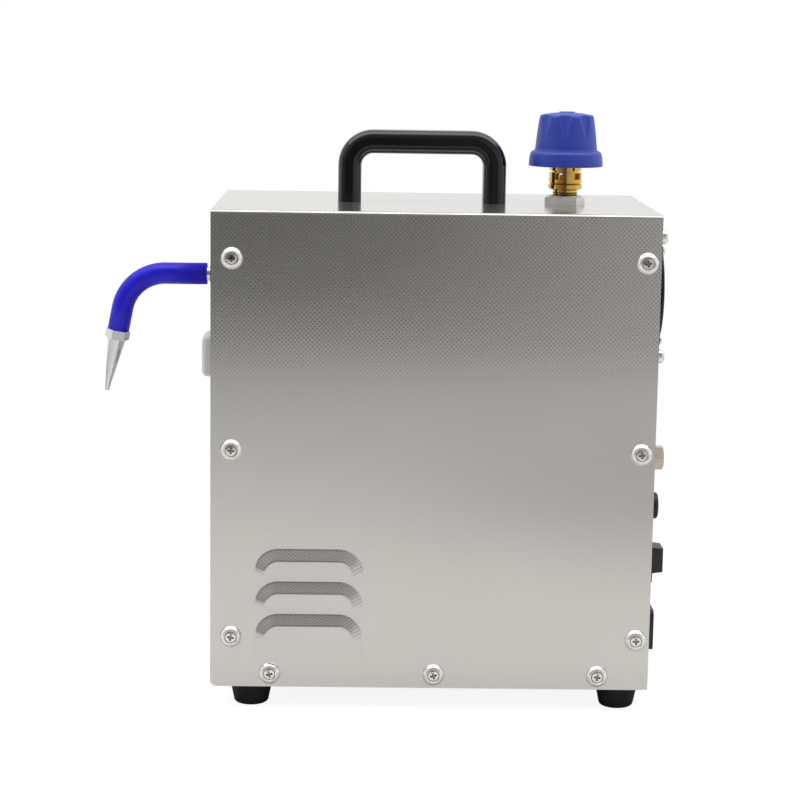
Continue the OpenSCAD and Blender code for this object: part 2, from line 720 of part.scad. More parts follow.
// Wire guard: domed rings on two crossed bars, bolted through four eyes
module fan_guard() color(BLACK) at_rear(fan_y, fan_z) {
    wire = 0.9;
    span = fan_pitch / sqrt(2) - 2.6;
    rise = 2.6;
    dome_r = (span * span + rise * rise) / 2 / rise;
    dome_z = wire + rise - dome_r;
    for (r = [8:6.5:34]) translate([0, 0, dome_z + sqrt(dome_r * dome_r - r * r) + wire])
        rotate_extrude() translate([r, 0]) circle(wire);
    for (a = [45, 135]) rotate(a) translate([0, 0, dome_z]) rotate([90, 0, 0])
        elbow(wire, dome_r, 90 - asin(span / dome_r), 2 * asin(span / dome_r));
    at_fan_corners() ring(3.6, 1.75, 1.5);
}

module m3_screws() color(CHROME) {
    at_rear(fan_y, fan_z) at_fan_corners() translate([0, 0, 1.5]) pan_screw(1.5, 17, 2.8, 1.6);
    at_rear(inlet_y, inlet_z) at_inlet_screws() translate([0, 0, inlet_t]) difference() {
        union() {
            translate([0, 0, -12]) cylinder(r = 1.5, h = 10.6);
            translate([0, 0, -1.4 - eps]) cylinder(r1 = 1.5 - eps, r2 = 2.9, h = 1.4 + eps);
        }
        cross_recess(1.5, 0.9, 0);
    }
}

// M5 screws with a flat and a spring washer, into the boiler's two brackets
module bracket_screws() color(CHROME) at_bracket_screws() {
    ring(5.3, m5_r + 0.2, 1);
    translate([0, 0, 1]) ring(4.4, m5_r + 0.2, 0.9);
    translate([0, 0, 1.9]) pan_screw(m5_r, 10, 4.9, 2.9);
}

// Drain: a brass spigot from the boiler's foot, closed by a hexagon cap
module drain_spigot() color(BRASS) at_rear(drain_y, drain_z) difference() {
    union() {
        translate([0, 0, -drain_stub - 7]) cylinder(r = 6, h = drain_stub + 17.5);
        rotate(30) hex(16, 1.6);
        translate([0, 0, -chassis_t - 3]) hex(17, 3);
        translate([0, 0, -drain_stub]) rotate([0, 90, 0]) cylinder(r = 5, h = 12);
    }
    translate([0, 0, -drain_stub - 2]) cylinder(r = 4, h = drain_stub + 20);
    translate([0, 0, -drain_stub]) rotate([0, 90, 0]) cylinder(r = 3.4, h = 14);
}

module drain_washer() color(COPPER) at_rear(drain_y, drain_z) translate([0, 0, 10.5])
    cylinder(r = 5.8, h = 1.3);

module drain_cap() color(BRASS) at_rear(drain_y, drain_z) difference() {
    translate([0, 0, 1.8]) rotate(30) turned_hex(16, drain_reach - 1.8);
    translate([0, 0, 1]) cylinder(r = 6.08, h = 10.85);
}

// Fuse holder through the panel, with a domed, ribbed bayonet cap that draws the fuse out
module fuse_holder() color(BLACK) at_rear(fuse_y, fuse_z) difference() {
    union() {
        cylinder(r = 10.4, h = 1.8);
        translate([0, 0, -36]) cylinder(r = 7.5, h = 36 + eps);
        translate([0, 0, -chassis_t - 4]) hex(19, 4);
    }
    translate([0, 0, -33]) cylinder(r = 5.4, h = 40);
}

module fuse_cap() color(BLACK) at_rear(fuse_y, fuse_z) difference() {
    union() {
        rotate_extrude() polygon(concat([[0, 2], [9.3, 2]], arc(7.5, 8.2, 1.8, 0, 76, 5),
            [[4, 10.5], [0, 10.7]]));
        translate([0, 0, -4]) cylinder(r = 5.32, h = 6 + eps);
    }
    translate([-1, -5.5, 9.2]) cube([2, 11, 3]);
    for (i = [0:11]) rotate(i * 30) translate([9.8, 0, 3]) cylinder(r = 0.9, h = 8);
}

module fuse_link() color(CHROME) at_rear(fuse_y, fuse_z) translate([0, 0, -32.05])
    cylinder(r = 3.15, h = 28);

// Appliance inlet: flange, shrouded recess with two cut corners, and a block behind
module power_inlet() color(BLACK) at_rear(inlet_y, inlet_z) difference() {
    union() {
        slab(28, 50, inlet_t, 4);
        translate([0, 0, inlet_t - eps]) slab(24, 31, 1.1, 2);
        translate([-10.5, -15, -20]) cube([21, 30, 20 + eps]);
    }
    translate([0, 0, -12]) linear_extrude(20) polygon([[-8.2, -12.2], [4.2, -12.2],
        [8.2, -8.2], [8.2, 8.2], [4.2, 12.2], [-8.2, 12.2]]);
    at_inlet_screws() {
        translate([0, 0, -1]) cylinder(r = 1.7, h = 7);
        translate([0, 0, inlet_t - 1.25]) cylinder(r1 = 1.7, r2 = 3.2, h = 1.5);
    }
    at_inlet_pins() translate([0, 0, -16]) cube([2.1, 4.1, 12], center = true);
}

module at_inlet_pins() for (p = [[-2.5, -7], [2.5, 0], [-2.5, 7]])
    translate([p[0], p[1], 0]) children();

module inlet_pins() color(CHROME) at_rear(inlet_y, inlet_z) at_inlet_pins()
    translate([0, 0, -14]) cube([2, 4, 25], center = true);

// Foot pedal's socket: a thin flange and a drafted block with a recess for the plug
module pedal_socket() color(BLACK) at_rear(pedal_y, pedal_z) difference() {
    union() {
        translate([-2.2, 0, 0]) slab(26, 25, 3.2, 2);
        intersection() {
            drafted(19, 16.6, 10.8) cube([1, 22, 30], center = true);
            rotate(90) drafted(20, 17.2, 10.8) cube([1, 26, 30], center = true);
        }
        translate([-10, -9, -16]) cube([20, 18, 16 + eps]);
    }
    translate([0, 0, 2.6]) slab(14, 12, 12, 1.5);
    at_pedal_contacts() cylinder(r = 1.7, h = 40, center = true);
}

// Block whose two faces along local X close in from w to top_w over the height h
module drafted(w, top_w, h) rotate([90, 0, 0]) linear_extrude(30, center = true)
    polygon([[-w / 2, 0], [w / 2, 0], [top_w / 2, h], [-top_w / 2, h]]);

module at_pedal_contacts() for (s = [-1, 1]) translate([s * 3.2, 0, 0]) children();

module pedal_contacts() color(BRASS) at_rear(pedal_y, pedal_z) at_pedal_contacts()
    translate([0, 0, -21]) ring(1.65, 1, 23);

// ---------- boiler and steam path ----------

// Closed vessel of turned sheet, its flat ends rolled into the wall, with its ports
module boiler_shell() color(STEEL) difference() {
    place(boiler_x, 0, 0) difference() {
        vessel(0);
        vessel(boiler_t);
    }
    place(cap_x, 0, boiler_z[1] - 5) cylinder(r = neck_mouth_r, h = 10);
    place(steam_port_x, 0, boiler_z[1] - 5) cylinder(r = pipe_r + 0.05, h = 10);
    at_element_legs() translate([0, 0, -5]) cylinder(r = 4.05, h = 10);
    place(body_l - drain_stub, drain_y, boiler_z[0] - 5) cylinder(r = 5.05, h = 10);
    for (z = [gauge_z, pressure_z]) place(boiler_x - boiler_r - 5, 0, z) rotate([0, 90, 0])
        cylinder(r = capillary_r + 0.05, h = 20);
}

module vessel(wall) rotate_extrude() {
    r = boiler_r - wall;
    c = boiler_round - wall;
    low = boiler_z[0] + wall;
    high = boiler_z[1] - wall;
    translate([0, low]) square([r - c, high - low]);
    translate([0, low + c]) square([r, high - low - 2 * c]);
    for (z = [low + c, high - c]) translate([r - c, z]) intersection() {
        circle(c);
        translate([0, -c]) square([c, 2 * c]);
    }
}

// Strap round the boiler's front, its arms running back to the rear panel
module boiler_strap() color(STEEL) difference() {
    r = boiler_r + 0.05;
    place(boiler_x, 0, strap_z[0]) linear_extrude(strap_z[1] - strap_z[0]) {
        difference() {
            circle(r + chassis_t);
            circle(r);
            translate([0, -100]) square(200);
        }
        for (s = [-1, 1]) mirror([0, s > 0 ? 0 : 1]) {
            translate([0, r]) square([rear_inner - boiler_x, chassis_t]);
            translate([rear_inner - boiler_x - chassis_t, r])
                square([chassis_t, flange_y - chassis_t - 0.3 - r]);
        }
    }
    at_bracket_screws() cylinder(r = m5_r + 0.05, h = 12, center = true);
}

// Angle bracket over the boiler's top, held to the rear panel
module boiler_top_bracket() color(STEEL) difference() {
    width = 2 * (flange_y - chassis_t - 0.3);
    place(rear_inner, 0, boiler_z[1]) rotate([90, 0, 0]) linear_extrude(width, center = true)
        polygon([[0, 0], [0, 12.5], [-chassis_t, 12.5], [-chassis_t, chassis_t],
            [cap_x - rear_inner - 22, chassis_t], [cap_x - rear_inner - 22, 0]]);
    for (s = [0, 1]) place(0, 0, boiler_z[1] - 1) mirror([0, s]) linear_extrude(4)
        polygon([[cap_x - 30, 30], [cap_x, 30], [rear_inner - 16, width / 2],
            [rear_inner - 16, width], [cap_x - 30, width]]);
    place(cap_x, 0, boiler_z[1] - 1) cylinder(r = neck_r + 0.1, h = 4);
    at_bracket_screws() cylinder(r = m5_r + 0.05, h = 12, center = true);
}

module at_element_legs() for (s = [-1, 1]) place(boiler_x - 10, s * 20, boiler_z[0]) children();

// Sheathed ring element low in the boiler, its two legs out through the bottom
module heating_element() color(STEEL) {
    place(boiler_x - 10, 0, boiler_z[0] + 22) rotate_extrude() translate([20, 0]) circle(3.5);
    at_element_legs() translate([0, 0, -22]) cylinder(r = 4, h = 44);
}

// Pressure switch on a stub from the boiler's front wall
module pressure_switch() color(BLACK) place(boiler_x - boiler_r, 0, pressure_z) rotate([0, -90, 0]) {
    rotate_extrude() polygon([[0, -1], [2.5, -1], [2.5, 6], [7, 6], [7, 11], [14, 13],
        [14, 24], [12, 26], [12, 34], [0, 34]]);
    for (s = [-1, 1]) translate([0, s * 5, 38]) cube([6.3, 0.8, 8 + eps], center = true);
}

module at_valve_axis() place(valve_x, 0, nozzle_z) rotate([-90, 0, 0]) children();

// Valve body: ports up and forwards, and a sideways stem that the coil fits over
module valve_body() color(BRASS) difference() {
    union() {
        at_valve_axis() translate([0, 0, -10]) cylinder(r = 14, h = 24);
        at_valve_axis() cylinder(r = 6.5, h = 42);
        place(valve_x, 0, nozzle_z) hex(17, 18);
        place(valve_x, 0, nozzle_z) rotate([0, -90, 0]) hex(17, 18);
    }
    place(valve_x, 0, nozzle_z) {
        translate([0, 0, 10]) cylinder(r = pipe_r + 0.05, h = 20);
        translate([0, 2, 0]) cylinder(r = 2, h = 20);
        translate([-8, 0, 0]) rotate([0, -90, 0]) cylinder(r = tube_r + 0.05, h = 20);
        translate([0, -1.5, 0]) rotate([0, -90, 0]) cylinder(r = 1.5, h = 20);
    }
    at_valve_axis() translate([0, 0, 1.5]) cylinder(r = 5.2, h = 38.5);
    at_valve_axis() translate([0, 0, -2.5]) cylinder(r = 1.5, h = 10);
}

module valve_coil() color(BLACK) at_valve_axis() translate([0, 0, 15]) difference() {
    slab(34, 34, 24, 5);
    translate([0, 0, -1]) cylinder(r = 6.55, h = 30);
}

module valve_plunger() color(STEEL) at_valve_axis() {
    translate([0, 0, 1.6]) cylinder(r1 = 3, r2 = 5.12, h = 2.4);
    translate([0, 0, 4 - eps]) cylinder(r = 5.12, h = 36 - valve_travel_gap);
}

module valve_spring() color(CHROME) at_valve_axis() translate([0, 0, 40.7 - valve_travel_gap])
    coil(4, 0.5, 5, (valve_travel_gap - 1.5) / 5);

// Steam pipe: up out of the boiler, forwards under the cover, and down into the valve
module steam_pipe() color(COPPER) difference() {
    steam_route(pipe_r, 0);
    steam_route(pipe_r - 1, 1);
}

module steam_route(r, past) {
    bend_z = pipe_z - pipe_bend;
    place(steam_port_x, 0, boiler_z[1] - 3 - past)
        cylinder(r = r, h = bend_z - boiler_z[1] + 3 + past);
    place(steam_port_x - pipe_bend, 0, bend_z) rotate([90, 0, 0]) elbow(r, pipe_bend, 0, 90);
    place(steam_port_x - pipe_bend, 0, pipe_z) rotate([0, -90, 0])
        cylinder(r = r, h = steam_port_x - valve_x - 2 * pipe_bend);
    place(valve_x + pipe_bend, 0, bend_z) rotate([90, 0, 0]) elbow(r, pipe_bend, 90, 90);
    place(valve_x, 0, nozzle_z + 10 - past) cylinder(r = r, h = bend_z - nozzle_z - 10 + past);
}

// Capillary from the boiler's front wall across to the back of the gauge
module gauge_pipe() color(COPPER) difference() {
    gauge_route(capillary_r, 0);
    gauge_route(capillary_r - 1, 1);
}

module gauge_route(r, past) {
    bend = capillary_bend;
    first = boiler_x - boiler_r + 1 + past;
    last = front_inset + 25 - past;
    place(first, 0, gauge_z) rotate([0, -90, 0]) cylinder(r = r, h = first - capillary_x - bend);
    place(capillary_x + bend, bend, gauge_z) elbow(r, bend, 180, 90);
    place(capillary_x, bend, gauge_z) rotate([-90, 0, 0]) cylinder(r = r, h = gauge_y - 2 * bend);
    place(capillary_x - bend, gauge_y - bend, gauge_z) elbow(r, bend, 0, 90);
    place(last, gauge_y, gauge_z) rotate([0, 90, 0]) cylinder(r = r, h = capillary_x - bend - last);
}

// Circuit board on four standoffs, with its relay, terminals, transformer and capacitors
module control_board() color("#2f6b45") place(85, 0, chassis_t) {
    for (x = [-1, 1], y = [-1, 1]) translate([x * 40, y * 35, 0]) cylinder(r = 3, h = 8 + eps);
    translate([0, 0, 8]) slab(90, 80, 1.6, 3);
    for (i = [0:1]) translate([22, i * 20 - 30, 9.6 - eps]) slab(19, 15, 16, 0.5);
    translate([-22, -10, 9.6 - eps]) slab(32, 28, 24, 1);
    for (i = [0:5]) translate([-8 + 9 * i, 30, 9.6 - eps]) difference() {
        slab(8, 9, 12, 0.5);
        translate([0, 0, 8]) cylinder(r = 2.4, h = 5);
    }
    for (i = [0:1]) translate([5, 4 - 14 * i, 9.6 - eps]) cylinder(r = 5, h = 16);
}

// ---------- assembly ----------

cover();
front_panel();
base_pan();
rear_panel();
cover_screws();
cup_washers();
foot_front_left();
foot_front_right();
foot_rear_left();
foot_rear_right();
foot_screws();
handle();
handle_screws();
filler_neck();
neck_nut();
cap_seal();
cap_plug();
cap_knob();
relief_poppet();
relief_spring();
nozzle_tube();
nozzle_sleeve();
nozzle_tip();
nozzle_union();
power_switch_housing();
power_switch_rocker();
switch_boot();
gauge_case();
gauge_dial();
gauge_needle();
gauge_lens();
power_lamp();
heat_lamp();
fan_frame();
fan_rotor();
fan_guard();
m3_screws();
bracket_screws();
drain_spigot();
drain_washer();
drain_cap();
fuse_holder();
fuse_cap();
fuse_link();
power_inlet();
inlet_pins();
pedal_socket();
pedal_contacts();
boiler_shell();
boiler_strap();
boiler_top_bracket();
heating_element();
pressure_switch();
valve_body();
valve_coil();
valve_plunger();
valve_spring();
steam_pipe();
gauge_pipe();
control_board();
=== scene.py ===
"""Looks for a bench-top steam cleaner: a linen-embossed stainless cabinet with a sleeved nozzle.

Each sub-assembly is a class that holds its sizes in metres and builds or dresses its own pieces
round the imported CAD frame. X runs from the nozzle to the rear panel and Z is up.
"""

from __future__ import annotations

import json
import logging
import math
from dataclasses import dataclass, replace
from enum import Enum
from typing import ClassVar

import bmesh
import bpy
from mathutils import Matrix, Vector

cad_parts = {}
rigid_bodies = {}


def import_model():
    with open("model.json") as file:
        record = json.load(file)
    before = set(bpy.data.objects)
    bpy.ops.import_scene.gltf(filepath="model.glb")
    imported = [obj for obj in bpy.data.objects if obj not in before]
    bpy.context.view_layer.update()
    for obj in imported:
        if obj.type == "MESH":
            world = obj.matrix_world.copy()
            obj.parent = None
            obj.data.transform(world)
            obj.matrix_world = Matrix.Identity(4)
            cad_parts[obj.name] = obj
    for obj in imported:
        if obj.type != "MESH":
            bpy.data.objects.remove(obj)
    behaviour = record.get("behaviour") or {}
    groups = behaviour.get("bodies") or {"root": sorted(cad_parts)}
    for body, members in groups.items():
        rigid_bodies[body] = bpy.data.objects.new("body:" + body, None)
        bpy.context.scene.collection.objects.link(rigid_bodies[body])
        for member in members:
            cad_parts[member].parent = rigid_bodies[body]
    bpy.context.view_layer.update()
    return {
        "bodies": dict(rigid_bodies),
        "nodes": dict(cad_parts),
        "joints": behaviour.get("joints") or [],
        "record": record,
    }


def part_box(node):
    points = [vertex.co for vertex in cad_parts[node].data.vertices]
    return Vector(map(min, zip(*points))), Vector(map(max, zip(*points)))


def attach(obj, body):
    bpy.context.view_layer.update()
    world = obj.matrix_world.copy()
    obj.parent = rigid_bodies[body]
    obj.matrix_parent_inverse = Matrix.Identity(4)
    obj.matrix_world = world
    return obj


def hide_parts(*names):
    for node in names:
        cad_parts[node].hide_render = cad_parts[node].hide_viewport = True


LOG = logging.getLogger("steam_cleaner")
MM = 0.001

Tree = bpy.types.NodeTree
Socket = bpy.types.NodeSocket
Colour = tuple[float, float, float, float]
Point = tuple[float, float, float]
# An axis, its first and last reading, and the grey at each
Ramp = tuple[str, float, float, float, float]
# A point, the nearest and farthest distance from it, and the grey at each
Patch = tuple[Point, float, float, float, float]


# ---------- nodes and finishes ----------


def linear(code: str) -> Colour:
    """Turn an sRGB hex colour into the linear values that sockets take.

    Args:
        code: Six hex digits after a hash sign.

    Returns:
        Red, green, blue and an alpha of 1.
    """
    parts = [int(code[i : i + 2], 16) / 255 for i in (1, 3, 5)]
    red, green, blue = (
        p / 12.92 if p <= 0.04045 else ((p + 0.055) / 1.055) ** 2.4 for p in parts
    )
    return (red, green, blue, 1.0)


def add_node(
    tree: Tree, kind: str, inputs: dict | None = None, **settings: object
) -> bpy.types.Node:
    """Add one node with its settings and links.

    Args:
        tree: The tree that gets the node.
        kind: The node's Blender type.
        inputs: A value or an output socket for each input, by name or number.
        **settings: Properties of the node itself.

    Returns:
        The new node.
    """
    made = tree.nodes.new(kind)
    for name, value in settings.items():
        setattr(made, name, value)
    for key, value in (inputs or {}).items():
        if isinstance(value, Socket):
            tree.links.new(value, made.inputs[key])
        else:
            made.inputs[key].default_value = value
    return made


def maths(tree: Tree, operation: str, *values: float | Socket) -> Socket:
    """Add a maths node.

    Args:
        tree: The tree that gets the node.
        operation: What it does with the values.
        *values: Numbers or output sockets.

    Returns:
        Its result.
    """
    inputs = dict(enumerate(values))
    return add_node(tree, "ShaderNodeMath", inputs, operation=operation).outputs[0]


def ramp(
    tree: Tree,
    value: Socket,
    start: float,
    end: float,
    low: float = 0.0,
    high: float = 1.0,
    kind: str = "LINEAR",
) -> Socket:
    """Map a value from one range to another, held at both ends.

    Args:
        tree: The tree that gets the node.
        value: What is mapped.
        start: The reading that gives low.
        end: The reading that gives high.
        low: The result at the start.
        high: The result at the end.
        kind: How it runs between them.

    Returns:
        The mapped value.
    """
    names = ("Value", "From Min", "From Max", "To Min", "To Max")
    inputs = dict(zip(names, (value, start, end, low, high)))
    return add_node(
        tree, "ShaderNodeMapRange", inputs, interpolation_type=kind
    ).outputs[0]


def blend(
    tree: Tree, share: Socket, first: Colour | Socket, second: Colour | Socket
) -> Socket:
    """Mix two colours.

    Args:
        tree: The tree that gets the node.
        share: How much of the second one shows.
        first: The colour at 0.
        second: The colour at 1.

    Returns:
        The mixed colour.
    """
    inputs = {0: share, 6: first, 7: second}
    return add_node(tree, "ShaderNodeMix", inputs, data_type="RGBA").outputs[2]


def axes_of(tree: Tree, place: Socket) -> bpy.types.bpy_prop_collection:
    """Split a point into its X, Y and Z."""
    return add_node(tree, "ShaderNodeSeparateXYZ", {0: place}).outputs


def marked(tree: Tree, name: str) -> Socket:
    """Read an attribute that the mesh carries."""
    return add_node(tree, "ShaderNodeAttribute", attribute_name=name).outputs["Fac"]


class Grain(Enum):
    """How a surface was made, which sets the fine relief that it shows."""

    MOULDED = "fine pebble left by a mould, a bath or a tool"
    BRUSHED = "hair lines along the sheet"
    LINEN = "rolled staggered dots"
    THREADED = "thread along Z"


@dataclass(frozen=True)
class Finish:
    """A material with its own grain, colour drift and wandering roughness.

    colour and drift are sRGB hex values that the surface wanders between. grain_size is the
    real spacing of the relief in metres, and depth its height. patch is the size of the
    drifts. spread is how far the roughness moves either way. The colour listed after alpha is
    painted shade: on linen's dots where they mirror the dim side, in a thread's roots, and
    where a mesh's own attribute marks a recess. A thread ends at thread_top.
    """

    name: str
    colour: str
    drift: str
    roughness: float
    spread: float = 0.04
    metallic: float = 0.0
    ior: float = 1.5
    grain: Grain = Grain.MOULDED
    grain_size: float = 0.6 * MM
    depth: float = 0.01 * MM
    patch: float = 0.03
    coat: float = 0.0
    transmission: float = 0.0
    alpha: float = 1.0
    painted_shade: str = ""
    thread_top: float = 0.0
    # The heights between which painted shade comes into the linen's dots, where they mirror the
    # dim side
    dots_show: ClassVar[tuple[float, float]] = (0.226, 0.254)
    # The heights of the thread's relief between which painted shade comes into its roots
    roots_show: ClassVar[tuple[float, float]] = (0.6, -0.4)
    # Hair lines are the pebble's noise drawn out along X
    brushed_stretch: ClassVar[Point] = (0.02, 1.0, 1.0)
    # The linen's rows stand a little farther apart than its dots in a row
    row_rate: ClassVar[float] = 0.95

    def relief(self, tree: Tree, place: Socket) -> Socket:
        """Draw the height of the surface's grain.

        Args:
            tree: The material's tree.
            place: The point in the object's own coordinates.

        Returns:
            A height between about 0 and 1.
        """
        turn = 2 * math.pi / self.grain_size
        if self.grain is Grain.LINEN:
            axes = axes_of(tree, place)
            # On a side Y is constant and on the top Z is, so their sum runs on over the fold
            rise = maths(tree, "ADD", axes["Y"], axes["Z"])
            waves = [
                maths(tree, "COSINE", maths(tree, "MULTIPLY", way, rate))
                for way, rate in ((axes["X"], turn), (rise, turn * self.row_rate))
            ]
            dots = maths(tree, "MULTIPLY", *waves)
            return ramp(tree, dots, 0.0, 1.0, kind="SMOOTHSTEP")
        if self.grain is Grain.THREADED:
            up = axes_of(tree, place)["Z"]
            wave = maths(tree, "SINE", maths(tree, "MULTIPLY", up, turn))
            return maths(tree, "MULTIPLY", wave, self.threaded(tree, up))
        stretch = self.brushed_stretch if self.grain is Grain.BRUSHED else (1.0, 1.0, 1.0)
        mapped = add_node(
            tree, "ShaderNodeMapping", {"Vector": place, "Scale": stretch}
        ).outputs[0]
        return add_node(
            tree,
            "ShaderNodeTexNoise",
            {"Vector": mapped, "Scale": 1 / self.grain_size, "Detail": 2.0},
        ).outputs["Fac"]

    def threaded(self, tree: Tree, up: Socket) -> Socket:
        """Give 1 where the thread is cut and 0 over it."""
        return maths(tree, "LESS_THAN", up, self.thread_top)

    def paint_shade(
        self, tree: Tree, place: Socket, height: Socket, colour: Socket
    ) -> Socket:
        """Paint shade in: in a recess, in a thread's roots, and on dots that mirror the dim
        side.

        Args:
            tree: The material's tree.
            place: The point in the object's own coordinates.
            height: The relief.
            colour: The colour without its painted shade.

        Returns:
            The colour with its painted shade.
        """
        if not self.painted_shade:
            return colour
        if self.grain is Grain.LINEN:
            # Painted shade on the dots high up and on the louvres' slopes, where they mirror the
            # dim side
            upper = ramp(tree, axes_of(tree, place)["Z"], *self.dots_show)
            seen = maths(tree, "MAXIMUM", upper, marked(tree, "leaning"))
            share = maths(tree, "MULTIPLY", seen, height)
        elif self.grain is Grain.THREADED:
            # Painted shade in the thread's roots, below the top of the thread
            cut = self.threaded(tree, axes_of(tree, place)["Z"])
            roots = ramp(tree, height, *self.roots_show)
            share = maths(tree, "MULTIPLY", cut, roots)
        else:
            # Painted shade wherever the mesh's own attribute marks a recess
            share = marked(tree, "painted_shade")
        return blend(tree, share, colour, linear(self.painted_shade))

    def material(self) -> bpy.types.Material:
        """Build the material once and give the same one after that.

        Returns:
            The finish's material.
        """
        known = bpy.data.materials.get(self.name)
        if known:
            return known
        made = bpy.data.materials.new(self.name)
        made.use_nodes = True
        tree = made.node_tree
        tree.nodes.clear()
        place = add_node(tree, "ShaderNodeTexCoord").outputs["Object"]
        wander = add_node(
            tree,
            "ShaderNodeTexNoise",
            {"Vector": place, "Scale": 1 / self.patch, "Detail": 4.0},
        ).outputs["Fac"]
        smoothest = max(self.roughness - self.spread, 0.02)
        roughest = self.roughness + self.spread
        height = self.relief(tree, place)
        bump = add_node(
            tree, "ShaderNodeBump", {"Height": height, "Distance": self.depth}
        )
        colour = blend(tree, wander, linear(self.colour), linear(self.drift))
        shader = add_node(
            tree,
            "ShaderNodeBsdfPrincipled",
            {
                "Base Color": self.paint_shade(tree, place, height, colour),
                "Roughness": ramp(tree, wander, 0.3, 0.7, smoothest, roughest),
                "Metallic": self.metallic,
                "IOR": self.ior,
                "Normal": bump.outputs[0],
                "Coat Weight": self.coat,
                "Transmission Weight": self.transmission,
                "Alpha": self.alpha,
            },
        )
        add_node(tree, "ShaderNodeOutputMaterial", {"Surface": shader.outputs[0]})
        return made

    def dress(self, *pieces: bpy.types.Object) -> None:
        """Put this finish on every slot of the pieces.

        Args:
            *pieces: Meshes to dress.
        """
        for piece in pieces:
            if not piece.material_slots:
                piece.data.materials.append(self.material())
            for held in piece.material_slots:
                held.material = self.material()


# 304 sheet embossed between rolls: it mirrors the bench, broken up by shallow dots. The dots'
# spacing is the 3 mm that shows in the photograph, coarser than the real emboss
# Its dots are painted darker as shade high up and on the louvres' slopes, where they mirror the
# dim side
LINEN_SHEET = Finish(
    "linen_stainless_sheet",
    "#d8d5d0",
    "#d4d1cc",
    0.16,
    0.01,
    metallic=0.85,
    grain=Grain.LINEN,
    grain_size=2.95 * MM,
    depth=0.008 * MM,
    patch=0.09,
    painted_shade="#a3a09b",
)
# Bent 304 chassis sheet, hair-line brushed along its length
BRUSHED_SHEET = Finish(
    "brushed_stainless_sheet",
    "#cfccc7",
    "#c4c1bc",
    0.3,
    0.05,
    metallic=1.0,
    grain=Grain.BRUSHED,
    grain_size=0.35 * MM,
    patch=0.05,
)
# Machined stainless: bright with soft tool marks
TURNED_STEEL = Finish(
    "turned_stainless",
    "#c9c6c1",
    "#b9b6b1",
    0.24,
    0.05,
    metallic=1.0,
    grain_size=0.5 * MM,
    depth=0.008 * MM,
    patch=0.012,
)
# Nickel-plated steel fasteners: near mirror, with painted shade in the screws' crosses
NICKEL = Finish(
    "nickel_plate",
    "#f2f0ec",
    "#e8e6e2",
    0.13,
    metallic=1.0,
    grain_size=0.8 * MM,
    patch=0.004,
    painted_shade="#8f877a",
)
# Zinc-plated nut: a soft, pale grey that never mirrors
ZINC = Finish(
    "pale_zinc_plate",
    "#f2f1ef",
    "#e6e4e0",
    0.6,
    0.06,
    metallic=1.0,
    grain_size=0.8 * MM,
    depth=0.015 * MM,
    patch=0.006,
)
# Chromed, buffed steel: a sharp mirror
CHROME = Finish(
    "polished_chrome",
    "#e2e3e3",
    "#d6d7d8",
    0.06,
    0.02,
    metallic=1.0,
    grain_size=2 * MM,
    depth=0.004 * MM,
    patch=0.01,
)
# Free-cutting brass straight from the lathe, warmer and duller in patches
BRASS = Finish(
    "turned_brass",
    "#e2c274",
    "#cfa24a",
    0.13,
    0.05,
    metallic=1.0,
    grain_size=0.7 * MM,
    depth=0.012 * MM,
    patch=0.006,
)
# The same brass with a 1.5 mm thread cut below its flange, with painted shade in its roots
THREADED_BRASS = replace(
    BRASS,
    name="threaded_brass",
    grain=Grain.THREADED,
    grain_size=1.5 * MM,
    depth=0.3 * MM,
    painted_shade="#5b4c28",
    thread_top=0.3495,
)
# Nickel-brass of the drain cap, pale and creamy
PALE_BRASS = Finish(
    "pale_nickel_brass",
    "#e6dcc6",
    "#d2c6ac",
    0.32,
    0.06,
    metallic=1.0,
    patch=0.008,
)
# Drawn copper pipe, going brown in patches
COPPER = Finish(
    "drawn_copper",
    "#c98564",
    "#96583d",
    0.3,
    0.08,
    metallic=1.0,
    patch=0.02,
)
# Moulded phenolic knob, satin from a blasted mould
KNOB_PHENOLIC = Finish(
    "satin_blue_phenolic",
    "#2f45b0",
    "#384ebc",
    0.42,
    0.05,
    grain_size=0.45 * MM,
    depth=0.02 * MM,
    patch=0.02,
)
# Extruded silicone sleeve: saturated, with a soft sheen
SLEEVE_SILICONE = Finish(
    "blue_silicone",
    "#2014dc",
    "#271ce2",
    0.42,
    0.05,
    ior=1.43,
    grain_size=0.7 * MM,
    depth=0.015 * MM,
    patch=0.02,
)
# Glossy moulded nylon, nearly black
HANDLE_NYLON = Finish(
    "glossy_black_nylon",
    "#060607",
    "#0a0a0b",
    0.12,
    0.03,
    grain_size=1.2 * MM,
    depth=0.008 * MM,
    coat=0.3,
)
# Glass-filled nylon of switches and sockets, semi-matt
BLACK_NYLON = Finish(
    "matt_black_nylon",
    "#17171a",
    "#202023",
    0.4,
    0.06,
    grain_size=0.5 * MM,
    depth=0.02 * MM,
    patch=0.015,
)
# Moulded rubber with a dusty bloom
FOOT_RUBBER = Finish(
    "black_rubber",
    "#0b0b0c",
    "#131314",
    0.6,
    0.08,
    ior=1.3,
    grain_size=0.7 * MM,
    depth=0.03 * MM,
    patch=0.01,
)
# Baked black enamel of the guard's wire, the needle and the dial's strokes
BLACK_ENAMEL = Finish(
    "black_enamel",
    "#131315",
    "#1c1c1f",
    0.3,
    0.05,
    grain_size=0.8 * MM,
    patch=0.01,
)
# Warm white enamel of the dial, nearly matt
WHITE_ENAMEL = Finish(
    "white_enamel",
    "#f0efe9",
    "#eae8e0",
    0.4,
    grain_size=0.8 * MM,
    depth=0.006 * MM,
    patch=0.02,
)
# Lamp lenses: glossy tinted acrylic that lets a little light through
RED_ACRYLIC = Finish(
    "red_acrylic",
    "#c2281c",
    "#a81e15",
    0.14,
    0.03,
    ior=1.49,
    grain_size=1.5 * MM,
    transmission=0.25,
    patch=0.004,
)
GREEN_ACRYLIC = replace(
    RED_ACRYLIC, name="green_acrylic", colour="#2c9a38", drift="#23832d"
)
